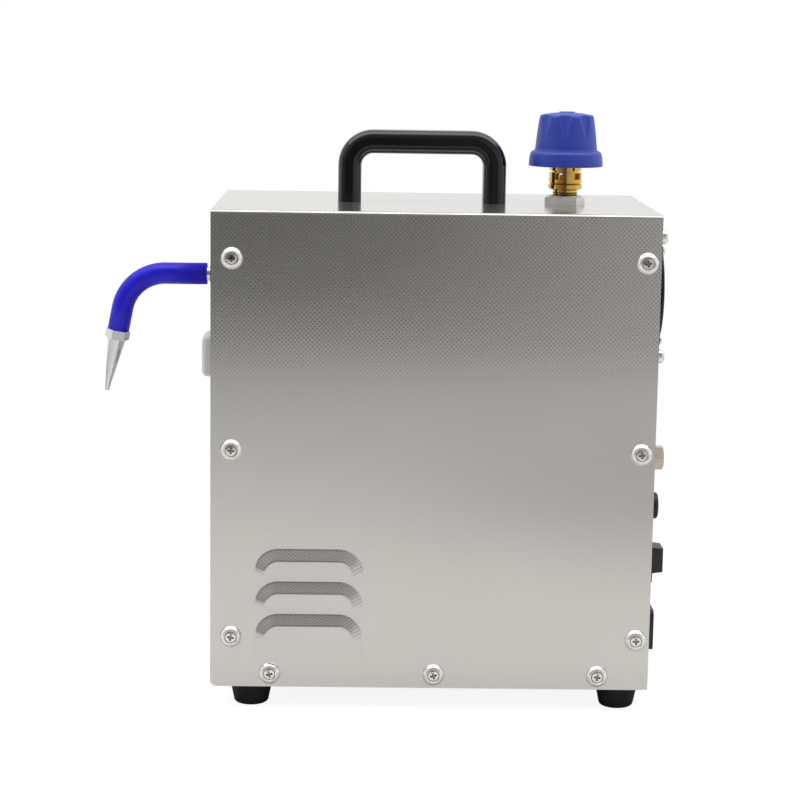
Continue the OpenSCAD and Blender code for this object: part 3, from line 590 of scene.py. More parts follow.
# Clear cast silicone, slightly milky
BOOT_SILICONE = Finish(
    "clear_silicone",
    "#f4f6f5",
    "#eceeed",
    0.3,
    ior=1.41,
    grain_size=1.5 * MM,
    depth=0.005 * MM,
    patch=0.01,
    alpha=0.72,
)
# Float glass of the gauge: clear, with a sharp reflection
GAUGE_GLASS = Finish(
    "gauge_glass",
    "#f4f8f8",
    "#eef4f5",
    0.05,
    0.01,
    grain_size=4 * MM,
    depth=0.002 * MM,
    alpha=0.22,
)
# Fibreglass laminate under satin green solder resist
BOARD_LAMINATE = Finish(
    "green_laminate",
    "#1f5a38",
    "#2b6a45",
    0.35,
    0.06,
    grain_size=0.8 * MM,
    depth=0.02 * MM,
    patch=0.01,
)


# ---------- mesh helpers ----------


def cabinet_origin() -> Vector:
    """Give the point that the cabinet's own coordinates start from.

    Returns:
        The cover's front lower edge, on the middle plane.
    """
    low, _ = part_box("cover")
    return Vector((low.x, 0.0, low.z))


def finished(
    mesh: bmesh.types.BMesh,
    name: str,
    body: str,
    finish: Finish,
    crease: float = 50.0,
) -> bpy.types.Object:
    """Turn a bmesh into a dressed piece that rides on a body.

    Args:
        mesh: The shape, in metres and in place, which is used up.
        name: The piece's name.
        body: The CAD body that it rides on.
        finish: What it is made of.
        crease: Edges bent by more degrees than this stay sharp.

    Returns:
        The new object.
    """
    data = bpy.data.meshes.new(name)
    mesh.to_mesh(data)
    mesh.free()
    data.shade_smooth()
    data.set_sharp_from_angle(angle=math.radians(crease))
    piece = bpy.data.objects.new(name, data)
    bpy.context.scene.collection.objects.link(piece)
    finish.dress(piece)
    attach(piece, body)
    LOG.info("%s: %d faces on %s", name, len(data.polygons), body)
    return piece


def verts_of(made: list) -> list[bmesh.types.BMVert]:
    """Pick the vertices out of what a bmesh operator made."""
    return [v for v in made if isinstance(v, bmesh.types.BMVert)]


def turned(
    mesh: bmesh.types.BMesh,
    profile: list[tuple[float, float]],
    place: Matrix,
    steps: int,
) -> None:
    """Spin a profile round the local Z axis and add it to a mesh.

    Args:
        mesh: The mesh that gets the shape.
        profile: Radius and height pairs along the outline.
        place: Where the local axes stand.
        steps: Faces round the turn.
    """
    shape = bmesh.new()
    points = [shape.verts.new((radius, 0, height)) for radius, height in profile]
    edges = [shape.edges.new(pair) for pair in zip(points, points[1:])]
    bmesh.ops.spin(
        shape,
        geom=points + edges,
        cent=(0, 0, 0),
        axis=(0, 0, 1),
        angle=2 * math.pi,
        steps=steps,
        use_merge=True,
        use_duplicate=False,
    )
    bmesh.ops.remove_doubles(shape, verts=shape.verts[:], dist=1e-6)
    bmesh.ops.recalc_face_normals(shape, faces=shape.faces[:])
    bmesh.ops.transform(shape, matrix=place, verts=shape.verts[:])
    whole = bpy.data.meshes.new("turned_shape")
    shape.to_mesh(whole)
    shape.free()
    mesh.from_mesh(whole)
    bpy.data.meshes.remove(whole)


def arc(
    centre: tuple[float, float], radius: float, start: float, end: float, parts: int
) -> list[tuple[float, float]]:
    """Give the points of an arc in a profile.

    Args:
        centre: Its centre, as radius and height.
        radius: Its radius.
        start: First angle in degrees.
        end: Last angle in degrees.
        parts: How many chords it has.

    Returns:
        The points, first and last included.
    """
    angles = [math.radians(start + (end - start) * i / parts) for i in range(parts + 1)]
    return [
        (centre[0] + radius * math.cos(a), centre[1] + radius * math.sin(a))
        for a in angles
    ]


# ---------- sub-assemblies ----------


class SubAssembly:
    """One unit of the machine: the pieces it builds, and the finishes of its CAD nodes."""

    finishes: ClassVar[dict[str, Finish]] = {}

    def build(self) -> None:
        """Build the pieces that take a plain CAD node's place, where there are any."""

    def dress(self, frame: dict) -> None:
        """Give the unit's CAD nodes their finishes.
        """
        for name, finish in self.finishes.items():
            finish.dress(frame["nodes"][name])


@dataclass
class Cabinet(SubAssembly):
    """Folded cover with pressed louvres, over a chassis on four feet."""

    finishes: ClassVar[dict[str, Finish]] = {
        "front_panel": BRUSHED_SHEET,
        "rear_panel": BRUSHED_SHEET,
        "base_pan": BRUSHED_SHEET,
        "foot_screws": NICKEL,
        "handle": HANDLE_NYLON,
        "handle_screws": NICKEL,
        "foot_front_left": FOOT_RUBBER,
        "foot_front_right": FOOT_RUBBER,
        "foot_rear_left": FOOT_RUBBER,
        "foot_rear_right": FOOT_RUBBER,
    }
    length: float = 300 * MM
    width: float = 186 * MM
    height: float = 326 * MM
    sheet: float = 1.2 * MM
    fold: float = 2.5 * MM
    corner: float = 4 * MM
    louvre_width: float = 73.5 * MM
    louvre_height: float = 16.4 * MM
    louvre_out: float = 4 * MM
    louvre_corner: float = 16.4 * MM
    louvre_slope: float = 6.7 * MM
    louvre_pitch: float = 22.6 * MM
    louvre_x: float = 66.8 * MM
    louvre_z: float = 34.4 * MM
    louvre_count: int = 3
    # How far either way a louvre's bends are eased, and the grid it is pressed on
    easing: float = 0.6 * MM
    cell: float = 0.65 * MM
    washer_radius: float = 7.6 * MM
    washer_bore: float = 2.3 * MM
    washer_columns: tuple[float, float] = (14.0 * MM, 290.8 * MM)
    washer_rows: tuple[float, float, float] = (35 * MM, 164.4 * MM, 294 * MM)
    foot_row_x: tuple[float, float, float] = (40.45 * MM, 152.75 * MM, 265.05 * MM)
    foot_row_z: float = 9.3 * MM
    # Half the width of a screw's cross, half its span and its depth
    cross: tuple[float, float, float] = (0.75 * MM, 2.3 * MM, 1.5 * MM)

    def inward(self, along: float, up: float) -> float:
        """Give how far inside a louvre's outline a point of the sheet lies.

        Args:
            along: Distance from the louvre's middle.
            up: Height over its open edge.

        Returns:
            The distance to the outline, negative outside it.
        """
        corner_x = self.louvre_width / 2 - self.louvre_corner
        corner_z = self.louvre_height - self.louvre_corner
        if abs(along) > corner_x and up > corner_z:
            return self.louvre_corner - math.hypot(abs(along) - corner_x, up - corner_z)
        return min(self.louvre_width / 2 - abs(along), self.louvre_height - up)

    def pressed(self, inward: float) -> float:
        """Give how far out the sheet is pressed: a flat slope with eased ends.

        Args:
            inward: Distance inside the louvre's outline.

        Returns:
            The height of the pressing.
        """
        ease = self.easing
        run = self.louvre_slope
        if inward <= -ease:
            return 0.0
        if inward < ease:
            climbed = (inward + ease) ** 2 / (4 * ease)
        elif inward < run - ease:
            climbed = inward
        elif inward < run + ease:
            climbed = run - (run + ease - inward) ** 2 / (4 * ease)
        else:
            climbed = run
        return self.louvre_out * climbed / run

    def fold_sheet(self) -> bmesh.types.BMesh:
        """Fold the sheet over the cabinet and round its lower corners.

        Returns:
            The cover's outside, without its louvres.
        """
        start = cabinet_origin()
        middle = start + Vector((self.length / 2, 0, self.height / 2))
        size = Matrix.Diagonal((self.length, self.width, self.height, 1))
        mesh = bmesh.new()
        bmesh.ops.create_cube(mesh, size=1, matrix=Matrix.Translation(middle) @ size)
        open_faces = [
            f for f in mesh.faces if abs(f.normal.x) > 0.5 or f.normal.z < -0.5
        ]
        bmesh.ops.delete(mesh, geom=open_faces, context="FACES")
        top = start.z + self.height
        folds = [
            e
            for e in mesh.edges
            if len(e.link_faces) == 2 and all(v.co.z > top - MM for v in e.verts)
        ]
        bmesh.ops.bevel(
            mesh,
            geom=folds,
            offset=self.fold,
            affect="EDGES",
            segments=8,
            profile=0.5,
            material=-1,
        )
        lower = [v for v in mesh.verts if v.co.z < start.z + MM]
        bmesh.ops.bevel(
            mesh,
            geom=lower,
            offset=self.corner,
            affect="VERTICES",
            segments=6,
            profile=0.5,
            material=-1,
        )
        return mesh

    def press_louvres(self, mesh: bmesh.types.BMesh) -> None:
        """Cut each louvre's lower edge free and press the sheet over it outwards.

        Args:
            mesh: The folded sheet, which gets a fine grid where it is pressed.
        """
        start = cabinet_origin()
        half = self.louvre_width / 2 + 2 * self.easing
        tall = self.louvre_height + 2 * self.easing
        middle = start.x + self.louvre_x
        lows = [
            start.z + self.louvre_z + i * self.louvre_pitch
            for i in range(self.louvre_count)
        ]
        across = round(2 * half / self.cell)
        cuts = [
            (Vector((middle - half + 2 * half * i / across, 0, 0)), Vector((1, 0, 0)))
            for i in range(across + 1)
        ]
        up = round(tall / self.cell)
        cuts += [
            (Vector((0, 0, low + tall * i / up)), Vector((0, 0, 1)))
            for low in lows
            for i in range(up + 1)
        ]
        for point, normal in cuts:
            bmesh.ops.bisect_plane(
                mesh,
                geom=mesh.verts[:] + mesh.edges[:] + mesh.faces[:],
                dist=1e-6,
                plane_co=point,
                plane_no=normal,
            )
        near = 0.01 * MM
        slits = [
            e
            for e in mesh.edges
            if all(
                abs(v.co.x - middle) < self.louvre_width / 2
                and abs(v.co.y) > self.width / 2 - near
                and min(abs(v.co.z - low) for low in lows) < near
                for v in e.verts
            )
        ]
        bmesh.ops.split_edges(mesh, edges=slits)
        # Marks the louvres' slopes, where the dots get painted shade as they mirror the dim side
        leaning = mesh.verts.layers.float.new("leaning")
        for point in mesh.verts:
            if abs(point.co.y) < self.width / 2 - near:
                continue
            side = math.copysign(1, point.co.y)
            highest = max(f.calc_center_median().z for f in point.link_faces)
            for low in lows:
                if low < highest < low + tall:
                    inward = self.inward(point.co.x - middle, point.co.z - low)
                    point.co.y += side * self.pressed(inward)
                    point[leaning] = float(0 < inward < self.louvre_slope)

    def build_cover(self) -> None:
        """Build the folded, louvred cover."""
        mesh = self.fold_sheet()
        self.press_louvres(mesh)
        middle = cabinet_origin() + Vector((self.length / 2, 0, self.height / 2))
        for face in mesh.faces:
            outward = face.calc_center_median() - middle
            outward.x = 0
            if face.normal.dot(outward) < 0:
                face.normal_flip()
        bmesh.ops.solidify(mesh, geom=mesh.faces[:], thickness=self.sheet)
        cover = finished(mesh, "cover_sheet", "cabinet", LINEN_SHEET)
        even = cover.modifiers.new("flat_panels", "WEIGHTED_NORMAL")
        even.weight = 100
        even.keep_sharp = True
        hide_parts("cover")

    def on_every_spot(
        self, shape: bmesh.types.BMesh, name: str
    ) -> bpy.types.Object:
        """Set a fastener at each of the cover's screw holes, each turned its own way.

        Args:
            shape: One fastener on the local Z axis, which is used up.
            name: The piece's name.

        Returns:
            The fasteners' piece.
        """
        one = bpy.data.meshes.new("one_fastener")
        shape.to_mesh(one)
        shape.free()
        spots = [(x, z) for x in self.washer_columns for z in self.washer_rows]
        spots += [(x, self.foot_row_z) for x in self.foot_row_x]
        mesh = bmesh.new()
        for side in (-1, 1):
            face_out = Matrix.Rotation(-side * math.pi / 2, 4, "X")
            for i, (x, z) in enumerate(spots):
                spot = cabinet_origin() + Vector((x, side * self.width / 2, z))
                # Each stands as its driver left it, between -10 and 18 degrees
                turn = Matrix.Rotation(math.radians((i * 34) % 30 - 10), 4, "Z")
                held = len(mesh.verts)
                mesh.from_mesh(one)
                mesh.verts.ensure_lookup_table()
                bmesh.ops.transform(
                    mesh,
                    matrix=Matrix.Translation(spot) @ face_out @ turn,
                    verts=mesh.verts[held:],
                )
        bpy.data.meshes.remove(one)
        return finished(mesh, name, "cabinet", NICKEL, 40)

    def build_washers(self) -> None:
        """Turn a dished cup washer for every cover screw."""
        round_out = 6.9 * MM
        lean = math.radians(65)
        reach = self.washer_radius - round_out * math.sin(lean)
        profile = [
            (self.washer_bore, 0),
            *arc((reach, -round_out * math.cos(lean)), round_out, 25, 58, 14),
            *arc((4.75 * MM, 2.52 * MM), 0.45 * MM, 62, 140, 6),
            (3.9 * MM, 1.9 * MM),
            (3.4 * MM, 1.1 * MM),
            (self.washer_bore, 0.4 * MM),
            (self.washer_bore, 0),
        ]
        shape = bmesh.new()
        turned(shape, profile, Matrix.Identity(4), 56)
        washers = self.on_every_spot(shape, "dished_washers")
        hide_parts("cup_washers")

    def build_screws(self) -> None:
        """Turn the raised countersunk screws and sink a cross in every head."""
        shank, end = 2.0 * MM, -5.5 * MM
        profile = [
            (0, 2.56 * MM),
            (1.2 * MM, 2.55 * MM),
            (2.4 * MM, 2.51 * MM),
            *arc((3.3 * MM, 2.02 * MM), 0.42 * MM, 80, -20, 5),
            (shank, 0.4 * MM),
            (shank, end + 0.5 * MM),
            (shank - 0.4 * MM, end),
            (0, end),
        ]
        shape = bmesh.new()
        turned(shape, profile, Matrix.Identity(4), 40)
        painted_shade = shape.verts.layers.float.new("painted_shade")
        arm, reach, sink = self.cross
        for axis in (Vector((1, 0, 0)), Vector((0, 1, 0))):
            for offset in (-reach, -arm, arm, reach):
                bmesh.ops.bisect_plane(
                    shape,
                    geom=shape.verts[:] + shape.edges[:] + shape.faces[:],
                    dist=1e-7,
                    plane_co=axis * offset,
                    plane_no=axis,
                )
        sunk = []
        for face in shape.faces:
            centre = face.calc_center_median()
            near, far = sorted((abs(centre.x), abs(centre.y)))
            if face.normal.z > 0.5 and near < arm and far < reach:
                sunk.append(face)
        floor = verts_of(bmesh.ops.extrude_face_region(shape, geom=sunk)["geom"])
        lids = [f for f in sunk if f.is_valid]
        bmesh.ops.delete(shape, geom=lids, context="FACES_ONLY")
        bmesh.ops.translate(shape, verts=floor, vec=(0, 0, -sink))
        bmesh.ops.scale(shape, verts=floor, vec=(0.8, 0.8, 1))
        bmesh.ops.recalc_face_normals(shape, faces=shape.faces[:])
        # The cross's floor gets painted shade
        for point in floor:
            point[painted_shade] = 1.0
        screws = self.on_every_spot(shape, "raised_screws")
        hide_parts("cover_screws")

    def build(self) -> None:
        """Build the cover, its washers and its screws."""
        self.build_cover()
        self.build_washers()
        self.build_screws()


@dataclass
class FillerCap(SubAssembly):
    """Fluted safety knob over a slotted brass plug, in the boiler's neck."""

    finishes: ClassVar[dict[str, Finish]] = {
        "cap_plug": THREADED_BRASS,
        "cap_seal": FOOT_RUBBER,
        "relief_poppet": BRASS,
        "relief_spring": TURNED_STEEL,
        "filler_neck": TURNED_STEEL,
        "neck_nut": ZINC,
    }
    x: float = 242.5 * MM
    skirt_z: float = 352.6 * MM
    skirt_height: float = 10.7 * MM
    skirt_radius: float = 26 * MM
    crown_radius: float = 21.9 * MM
    crown_top_radius: float = 19.5 * MM
    crown_top_z: float = 388.3 * MM
    bore_radius: float = 9.45 * MM
    bore_top_z: float = 373.05 * MM
    # The ring-shaped hollow under the skirt
    hollow_inner: float = 12.4 * MM
    hollow_outer: float = 20 * MM
    hollow_depth: float = 8 * MM
    flutes: int = 8
    flute_length: float = 19.2 * MM
    flute_radius: float = 8.6 * MM
    flute_lean: float = 11.0
    flute_reach: float = 21.5 * MM
    # How far round the first flute stands, as a share of the step between two
    flute_phase: float = 0.82
    # The button in the middle of the top is left round
    button_radius: float = 7 * MM
    softness: float = 0.45 * MM

    def profile(self) -> list[tuple[float, float]]:
        """Give the knob's outline from the top of its bore to the top of its crown.

        Returns:
            Radius and height pairs over the cover's lower edge.
        """
        low = self.skirt_z
        shoulder = low + self.skirt_height
        rows = 30
        foot = (self.crown_radius - 0.2 * MM, shoulder + 1.2 * MM)
        head = (self.crown_top_radius, self.crown_top_z - 2.4 * MM)
        wall = [
            (
                foot[0] + (head[0] - foot[0]) * i / rows,
                foot[1] + (head[1] - foot[1]) * i / rows,
            )
            for i in range(rows + 1)
        ]
        rim = self.skirt_radius
        return [
            (0, self.bore_top_z),
            (self.bore_radius, self.bore_top_z),
            (self.bore_radius, low),
            (self.hollow_inner, low),
            (self.hollow_inner, low + self.hollow_depth),
            (self.hollow_outer, low + self.hollow_depth),
            (self.hollow_outer, low),
            *arc((rim - 0.6 * MM, low + 0.6 * MM), 0.6 * MM, -90, 0, 4),
            (rim - 0.4 * MM, shoulder - 5 * MM),
            *arc((rim - 4.4 * MM, shoulder - 3.4 * MM), 3.6 * MM, 4, 80, 8),
            (self.crown_radius + 0.2 * MM, shoulder + 0.5 * MM),
            *wall,
            *arc(
                (self.crown_top_radius - 2.3 * MM, self.crown_top_z - 2.2 * MM),
                2.2 * MM,
                8,
                76,
                8,
            ),
            (12 * MM, self.crown_top_z + 0.9 * MM),
            (6.4 * MM, self.crown_top_z + 1.5 * MM),
            (5.5 * MM, self.crown_top_z + 1.6 * MM),
            (5.2 * MM, self.crown_top_z + 2.1 * MM),
            (4.6 * MM, self.crown_top_z + 2.2 * MM),
            (0, self.crown_top_z + 2.2 * MM),
        ]

    def fluted(self, radius: float, angle: float, z: float) -> float:
        """Draw a point of the crown in where a flute has scooped it.

        Args:
            radius: The point's distance from the knob's axis.
            angle: Its angle from the nearest flute, in radians.
            z: Its height over the cover's lower edge.

        Returns:
            The radius after the scoop, with its edge softened.
        """
        climb = z - (self.crown_top_z - self.flute_length)
        if climb <= 0:
            return radius
        reach = self.flute_reach + climb * math.tan(math.radians(self.flute_lean))
        scoop = self.flute_radius * climb / self.flute_length
        across = reach * math.sin(angle)
        if abs(across) >= scoop:
            return radius
        floor = reach * math.cos(angle) - math.sqrt(scoop * scoop - across * across)
        gap = max(self.softness - abs(radius - floor), 0.0) / self.softness
        return min(radius, floor) - gap * gap * self.softness / 4

    def build(self) -> None:
        """Spin the knob and scoop its flutes."""
        start = cabinet_origin()
        axis = start + Vector((self.x, 0, 0))
        mesh = bmesh.new()
        turned(mesh, self.profile(), Matrix.Translation(axis), self.flutes * 24)
        step = 2 * math.pi / self.flutes
        for point in mesh.verts:
            flat = Vector((point.co.x - axis.x, point.co.y))
            z = point.co.z - start.z
            if flat.length < self.button_radius or z < self.skirt_z + self.skirt_height:
                continue
            around = math.atan2(flat.y, flat.x) - self.flute_phase * step
            angle = (around + step / 2) % step - step / 2
            radius = self.fluted(flat.length, angle, z)
            point.co.x = axis.x + flat.x * radius / flat.length
            point.co.y = flat.y * radius / flat.length
        knob = finished(mesh, "fluted_knob", "cap", KNOB_PHENOLIC)
        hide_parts("cap_knob")


@dataclass
class FrontFittings(SubAssembly):
    """Nozzle, switch under its boot, gauge and lamps."""

    finishes: ClassVar[dict[str, Finish]] = {
        "nozzle_tube": CHROME,
        "nozzle_tip": CHROME,
        "nozzle_union": NICKEL,
        "power_switch_housing": BLACK_NYLON,
        "power_switch_rocker": BLACK_NYLON,
        "switch_boot": BOOT_SILICONE,
        "gauge_case": CHROME,
        "gauge_dial": WHITE_ENAMEL,
        "gauge_needle": BLACK_ENAMEL,
        "gauge_lens": GAUGE_GLASS,
        "power_lamp": RED_ACRYLIC,
        "heat_lamp": GREEN_ACRYLIC,
    }
    gauge_y: float = 50 * MM
    gauge_z: float = 222 * MM
    dial_face_x: float = 3.65 * MM
    scale_radius: float = 19.5 * MM
    # Length and width of the dial's long and short strokes
    long_stroke: tuple[float, float] = (3.4 * MM, 0.5 * MM)
    short_stroke: tuple[float, float] = (1.9 * MM, 0.25 * MM)
    scale_start: float = -135.0
    sweep: float = 270.0
    divisions: int = 30
    long_every: int = 5
    sleeve_radius: float = 7.6 * MM
    sleeve_wall: float = 2.55 * MM
    sleeve_x: float = -8.7 * MM
    sleeve_z: float = 273.3 * MM
    sleeve_straight: float = 29.4 * MM
    sleeve_tail: float = 16 * MM
    bend_radius: float = 31 * MM
    bend_angle: float = 79.0

    def build_sleeve(self) -> None:
        """Draw the silicone sleeve along the bent tube in one smooth skin."""
        start = cabinet_origin() + Vector((self.sleeve_x, 0, self.sleeve_z))
        turn = math.radians(self.bend_angle)
        onward = Vector((-math.cos(turn), 0, -math.sin(turn)))
        mesh = bmesh.new()
        bmesh.ops.create_circle(
            mesh,
            segments=56,
            radius=self.sleeve_radius,
            matrix=Matrix.Translation(start) @ Matrix.Rotation(math.pi / 2, 4, "Y"),
        )
        last = mesh.edges[:]
        for shift in (Vector((-self.sleeve_straight, 0, 0)), onward * self.sleeve_tail):
            made = bmesh.ops.extrude_edge_only(mesh, edges=last)["geom"]
            ends = verts_of(made)
            bmesh.ops.translate(mesh, verts=ends, vec=shift)
            last = [
                e
                for e in made
                if isinstance(e, bmesh.types.BMEdge) and len(e.link_faces) == 1
            ]
            if shift.z == 0:
                bent = bmesh.ops.spin(
                    mesh,
                    geom=ends + last,
                    cent=start + shift - Vector((0, 0, self.bend_radius)),
                    axis=(0, -1, 0),
                    angle=turn,
                    steps=36,
                    use_merge=False,
                    use_duplicate=False,
                )["geom_last"]
                last = [e for e in bent if isinstance(e, bmesh.types.BMEdge)]
        bmesh.ops.recalc_face_normals(mesh, faces=mesh.faces[:])
        sleeve = finished(mesh, "bent_sleeve", "cabinet", SLEEVE_SILICONE)
        wall = sleeve.modifiers.new("wall", "SOLIDIFY")
        wall.thickness = self.sleeve_wall
        wall.offset = -1
        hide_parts("nozzle_sleeve")

    def build_scale(self) -> None:
        """Lay the dial's graduations out from zero to full scale."""
        centre = Vector((self.dial_face_x, self.gauge_y, self.gauge_z))
        middle = Matrix.Translation(cabinet_origin() + centre)
        mesh = bmesh.new()
        for i in range(self.divisions + 1):
            long, wide = self.short_stroke if i % self.long_every else self.long_stroke
            angle = self.scale_start + self.sweep * i / self.divisions
            turn = Matrix.Rotation(math.radians(angle), 4, "X")
            shift = Matrix.Translation((0, 0, self.scale_radius - long / 2))
            size = Matrix.Diagonal((0.1 * MM, wide, long, 1))
            place = middle @ turn @ shift @ size
            bmesh.ops.create_cube(mesh, size=1, matrix=place)
        finished(mesh, "dial_scale", "cabinet", BLACK_ENAMEL, 35)

    def build(self) -> None:
        """Build the sleeve and the dial's scale."""
        self.build_sleeve()
        self.build_scale()


class RearFittings(SubAssembly):
    """Fan, drain, fuse, inlet and pedal socket."""

    finishes: ClassVar[dict[str, Finish]] = {
        "fan_frame": BLACK_NYLON,
        "fan_rotor": BLACK_NYLON,
        "fan_guard": BLACK_ENAMEL,
        "m3_screws": NICKEL,
        "bracket_screws": NICKEL,
        "drain_spigot": BRASS,
        "drain_washer": COPPER,
        "drain_cap": PALE_BRASS,
        "fuse_holder": BLACK_NYLON,
        "fuse_cap": BLACK_NYLON,
        "fuse_link": NICKEL,
        "power_inlet": BLACK_NYLON,
        "inlet_pins": NICKEL,
        "pedal_socket": BLACK_NYLON,
        "pedal_contacts": BRASS,
    }


class SteamPath(SubAssembly):
    """Boiler, its strap and bracket, the valve and the pipes."""

    finishes: ClassVar[dict[str, Finish]] = {
        "boiler_shell": TURNED_STEEL,
        "boiler_strap": BRUSHED_SHEET,
        "boiler_top_bracket": BRUSHED_SHEET,
        "heating_element": TURNED_STEEL,
        "pressure_switch": BLACK_NYLON,
        "valve_body": BRASS,
        "valve_coil": BLACK_NYLON,
        "valve_plunger": TURNED_STEEL,
        "valve_spring": TURNED_STEEL,
        "steam_pipe": COPPER,
        "gauge_pipe": COPPER,
        "control_board": BOARD_LAMINATE,
    }


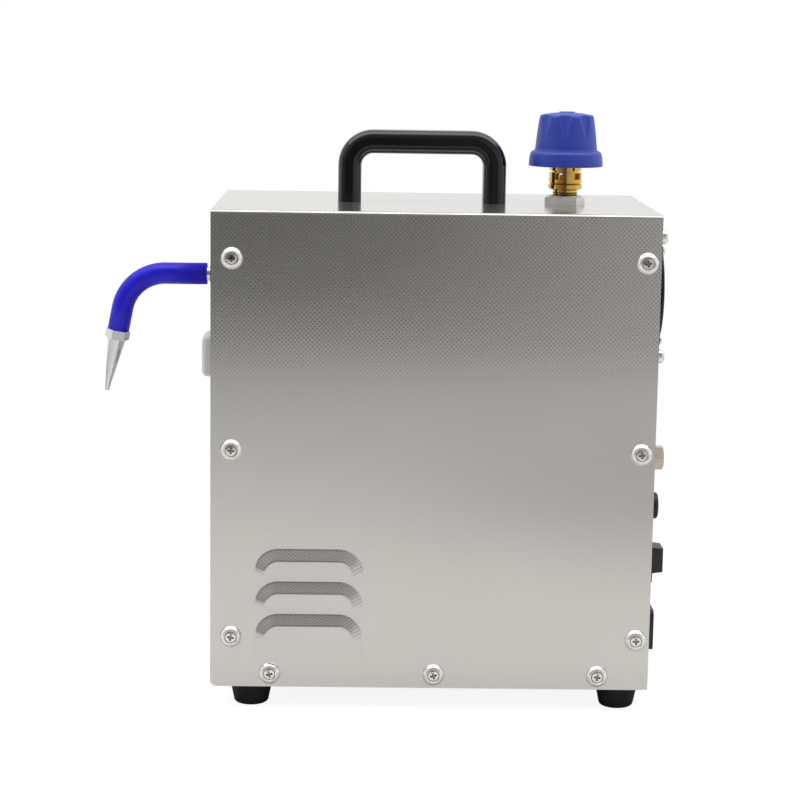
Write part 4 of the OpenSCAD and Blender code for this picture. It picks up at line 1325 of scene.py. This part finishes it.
@dataclass
class Studio:
    """White table, overhead softbox and the camera of the photograph."""

    lens: float = 98.727
    camera_at: Point = (101.3 * MM, -1544.4 * MM, 441.96 * MM)
    pitch: float = 9.462
    yaw: float = -1.018
    roll: float = 0.872
    floor_radius: float = 2.0
    lamps_aim: Point = (0.0, 0.0, 0.15)
    lift: float = 0.9
    fill: float = 0.5
    # A brighter stretch low on the right of the open side: two factors
    doorway: tuple[Ramp, Ramp] = (
        ("X", 0.02, 0.16, 0.0, 0.4),
        ("Z", 0.1, 0.4, 1.0, 0.0),
    )
    cloth_white: float = 0.95
    # Painted shade on the table, seen where the metal mirrors it: two factors, darker away
    # from the cabinet, and a painted shadow at the right front
    painted_table_shade: tuple[Patch, Patch] = (
        ((-0.05, -0.1, 0.0), 0.25, 1.0, 0.97, 0.83),
        ((0.26, -0.8, 0.0), 0.0, 0.4, 0.7, 1.0),
    )
    # Where the tent's white cloth begins, as the Y of a direction
    tent_edge: tuple[float, float] = (-0.46, -0.2)
    # Greys of the tent's open side that add up
    open_side: tuple[Ramp, Ramp, Ramp] = (
        ("Z", 0.0, 0.9, 0.09, 0.42),
        ("X", -0.15, -0.9, 0.0, 0.25),
        ("X", 0.15, 0.9, 0.0, 0.25),
    )

    def build_camera(self) -> None:
        """Stand the camera where the photograph was taken from."""
        down, turn, tilt = (
            math.radians(a) for a in (self.pitch, self.yaw, self.roll)
        )
        right = Vector((math.cos(turn), math.sin(turn), 0))
        ahead = Vector((-math.sin(turn), math.cos(turn), 0))
        up = Vector((0, 0, 1))
        look = ahead * math.cos(down) - up * math.sin(down)
        over = up * math.cos(down) + ahead * math.sin(down)
        side = right * math.cos(tilt) + over * math.sin(tilt)
        crown = over * math.cos(tilt) - right * math.sin(tilt)
        data = bpy.data.cameras.new("photo_camera")
        data.lens = self.lens
        data.sensor_width = 36
        data.clip_start = 0.05
        camera = bpy.data.objects.new("photo_camera", data)
        bpy.context.scene.collection.objects.link(camera)
        frame = Matrix((side, crown, -look)).transposed().to_4x4()
        stand = cabinet_origin() + Vector(self.camera_at)
        camera.matrix_world = Matrix.Translation(stand) @ frame
        bpy.context.scene.camera = camera

    def build_floor(self) -> None:
        """Lay the round white table: white to the lens, matt and painted with shade elsewhere.
        """
        mesh = bmesh.new()
        bmesh.ops.create_circle(
            mesh, cap_ends=True, segments=128, radius=self.floor_radius
        )
        data = bpy.data.meshes.new("studio_table")
        mesh.to_mesh(data)
        mesh.free()
        table = bpy.data.objects.new("studio_table", data)
        bpy.context.scene.collection.objects.link(table)
        made = bpy.data.materials.new("white_table_top")
        made.use_nodes = True
        tree = made.node_tree
        tree.nodes.clear()
        seen = add_node(tree, "ShaderNodeLightPath").outputs["Is Camera Ray"]
        place = add_node(tree, "ShaderNodeTexCoord").outputs["Object"]
        # Painted shade for what the metal mirrors: darker away from the cabinet, and a painted
        # shadow at the right front
        shades = []
        for at, near, far, low, high in self.painted_table_shade:
            away = add_node(
                tree, "ShaderNodeVectorMath", {0: place, 1: at}, operation="DISTANCE"
            ).outputs["Value"]
            shades.append(ramp(tree, away, near, far, low, high, kind="SMOOTHSTEP"))
        shade = maths(tree, "MULTIPLY", *shades)
        matt = add_node(tree, "ShaderNodeBsdfDiffuse", {"Color": shade})
        faint = add_node(tree, "ShaderNodeBsdfDiffuse", {"Color": linear("#808080")})
        glow = add_node(
            tree,
            "ShaderNodeEmission",
            {"Color": linear("#ffffff"), "Strength": self.lift},
        )
        lifted = add_node(
            tree, "ShaderNodeAddShader", {0: faint.outputs[0], 1: glow.outputs[0]}
        )
        mixed = add_node(
            tree,
            "ShaderNodeMixShader",
            {0: seen, 1: matt.outputs[0], 2: lifted.outputs[0]},
        )
        add_node(tree, "ShaderNodeOutputMaterial", {"Surface": mixed.outputs[0]})
        data.materials.append(made)

    def build_world(self) -> None:
        """Light the room: a white tent, open and dim towards the camera's side."""
        world = bpy.data.worlds.new("studio_room")
        world.use_nodes = True
        tree = world.node_tree
        tree.nodes.clear()
        path = add_node(tree, "ShaderNodeLightPath").outputs
        place = add_node(tree, "ShaderNodeTexCoord").outputs["Generated"]
        axes = axes_of(tree, place)
        over, left, right, side, low = (
            ramp(tree, axes[name], *reach)
            for name, *reach in (*self.open_side, *self.doorway)
        )
        grey = maths(tree, "ADD", maths(tree, "ADD", over, left), right)
        grey = maths(tree, "MULTIPLY_ADD", side, low, grey)
        cloth = ramp(tree, axes["Y"], *self.tent_edge, kind="SMOOTHSTEP")
        shown = add_node(
            tree,
            "ShaderNodeMix",
            {0: cloth, 2: grey, 3: self.cloth_white},
            data_type="FLOAT",
        ).outputs[0]
        room = add_node(
            tree, "ShaderNodeBackground", {"Color": shown, "Strength": 1.0}
        )
        soft = add_node(
            tree, "ShaderNodeBackground", {"Color": shown, "Strength": self.fill}
        )
        white = add_node(
            tree,
            "ShaderNodeBackground",
            {"Color": linear("#ffffff"), "Strength": 1.0},
        )
        plain = maths(
            tree, "MAXIMUM", path["Is Camera Ray"], path["Is Transmission Ray"]
        )
        bright = add_node(
            tree,
            "ShaderNodeMixShader",
            {0: path["Is Glossy Ray"], 1: soft.outputs[0], 2: room.outputs[0]},
        )
        mixed = add_node(
            tree,
            "ShaderNodeMixShader",
            {0: plain, 1: bright.outputs[0], 2: white.outputs[0]},
        )
        add_node(tree, "ShaderNodeOutputWorld", {"Surface": mixed.outputs[0]})
        bpy.context.scene.world = world

    def build_lamps(self) -> None:
        """Hang a large softbox overhead and a smaller one on each side."""
        plan = (
            ("overhead_softbox", (0.0, -0.15, 1.55), (3.0, 1.0), 17.0),
            ("left_softbox", (-1.6, -0.9, 1.1), (0.8, 0.8), 4.0),
            ("right_softbox", (1.6, -0.9, 1.1), (0.8, 0.8), 4.0),
        )
        for name, at, size, power in plan:
            data = bpy.data.lights.new(name, "AREA")
            data.shape = "RECTANGLE"
            data.size, data.size_y = size
            data.energy = power
            lamp = bpy.data.objects.new(name, data)
            bpy.context.scene.collection.objects.link(lamp)
            aim = Vector(self.lamps_aim) - Vector(at)
            turn = aim.to_track_quat("-Z", "Y").to_matrix().to_4x4()
            lamp.matrix_world = Matrix.Translation(at) @ turn
            # The side lamps shine without a hard patch of their own in the metal
            lamp.visible_glossy = name.startswith("overhead")

    def build(self) -> None:
        """Set the studio up."""
        bpy.context.scene.view_settings.view_transform = "Standard"
        self.build_camera()
        self.build_floor()
        self.build_world()
        self.build_lamps()


def main() -> None:
    """Load the frame, set the studio up, and build and dress every sub-assembly."""
    logging.basicConfig(level=logging.INFO, format="%(name)s: %(message)s")
    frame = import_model()
    Studio().build()
    for part in (Cabinet(), FillerCap(), FrontFittings(), RearFittings(), SteamPath()):
        part.build()
        part.dress(frame)
        LOG.info("%s done", type(part).__name__)


if __name__ == "__main__":
    main()
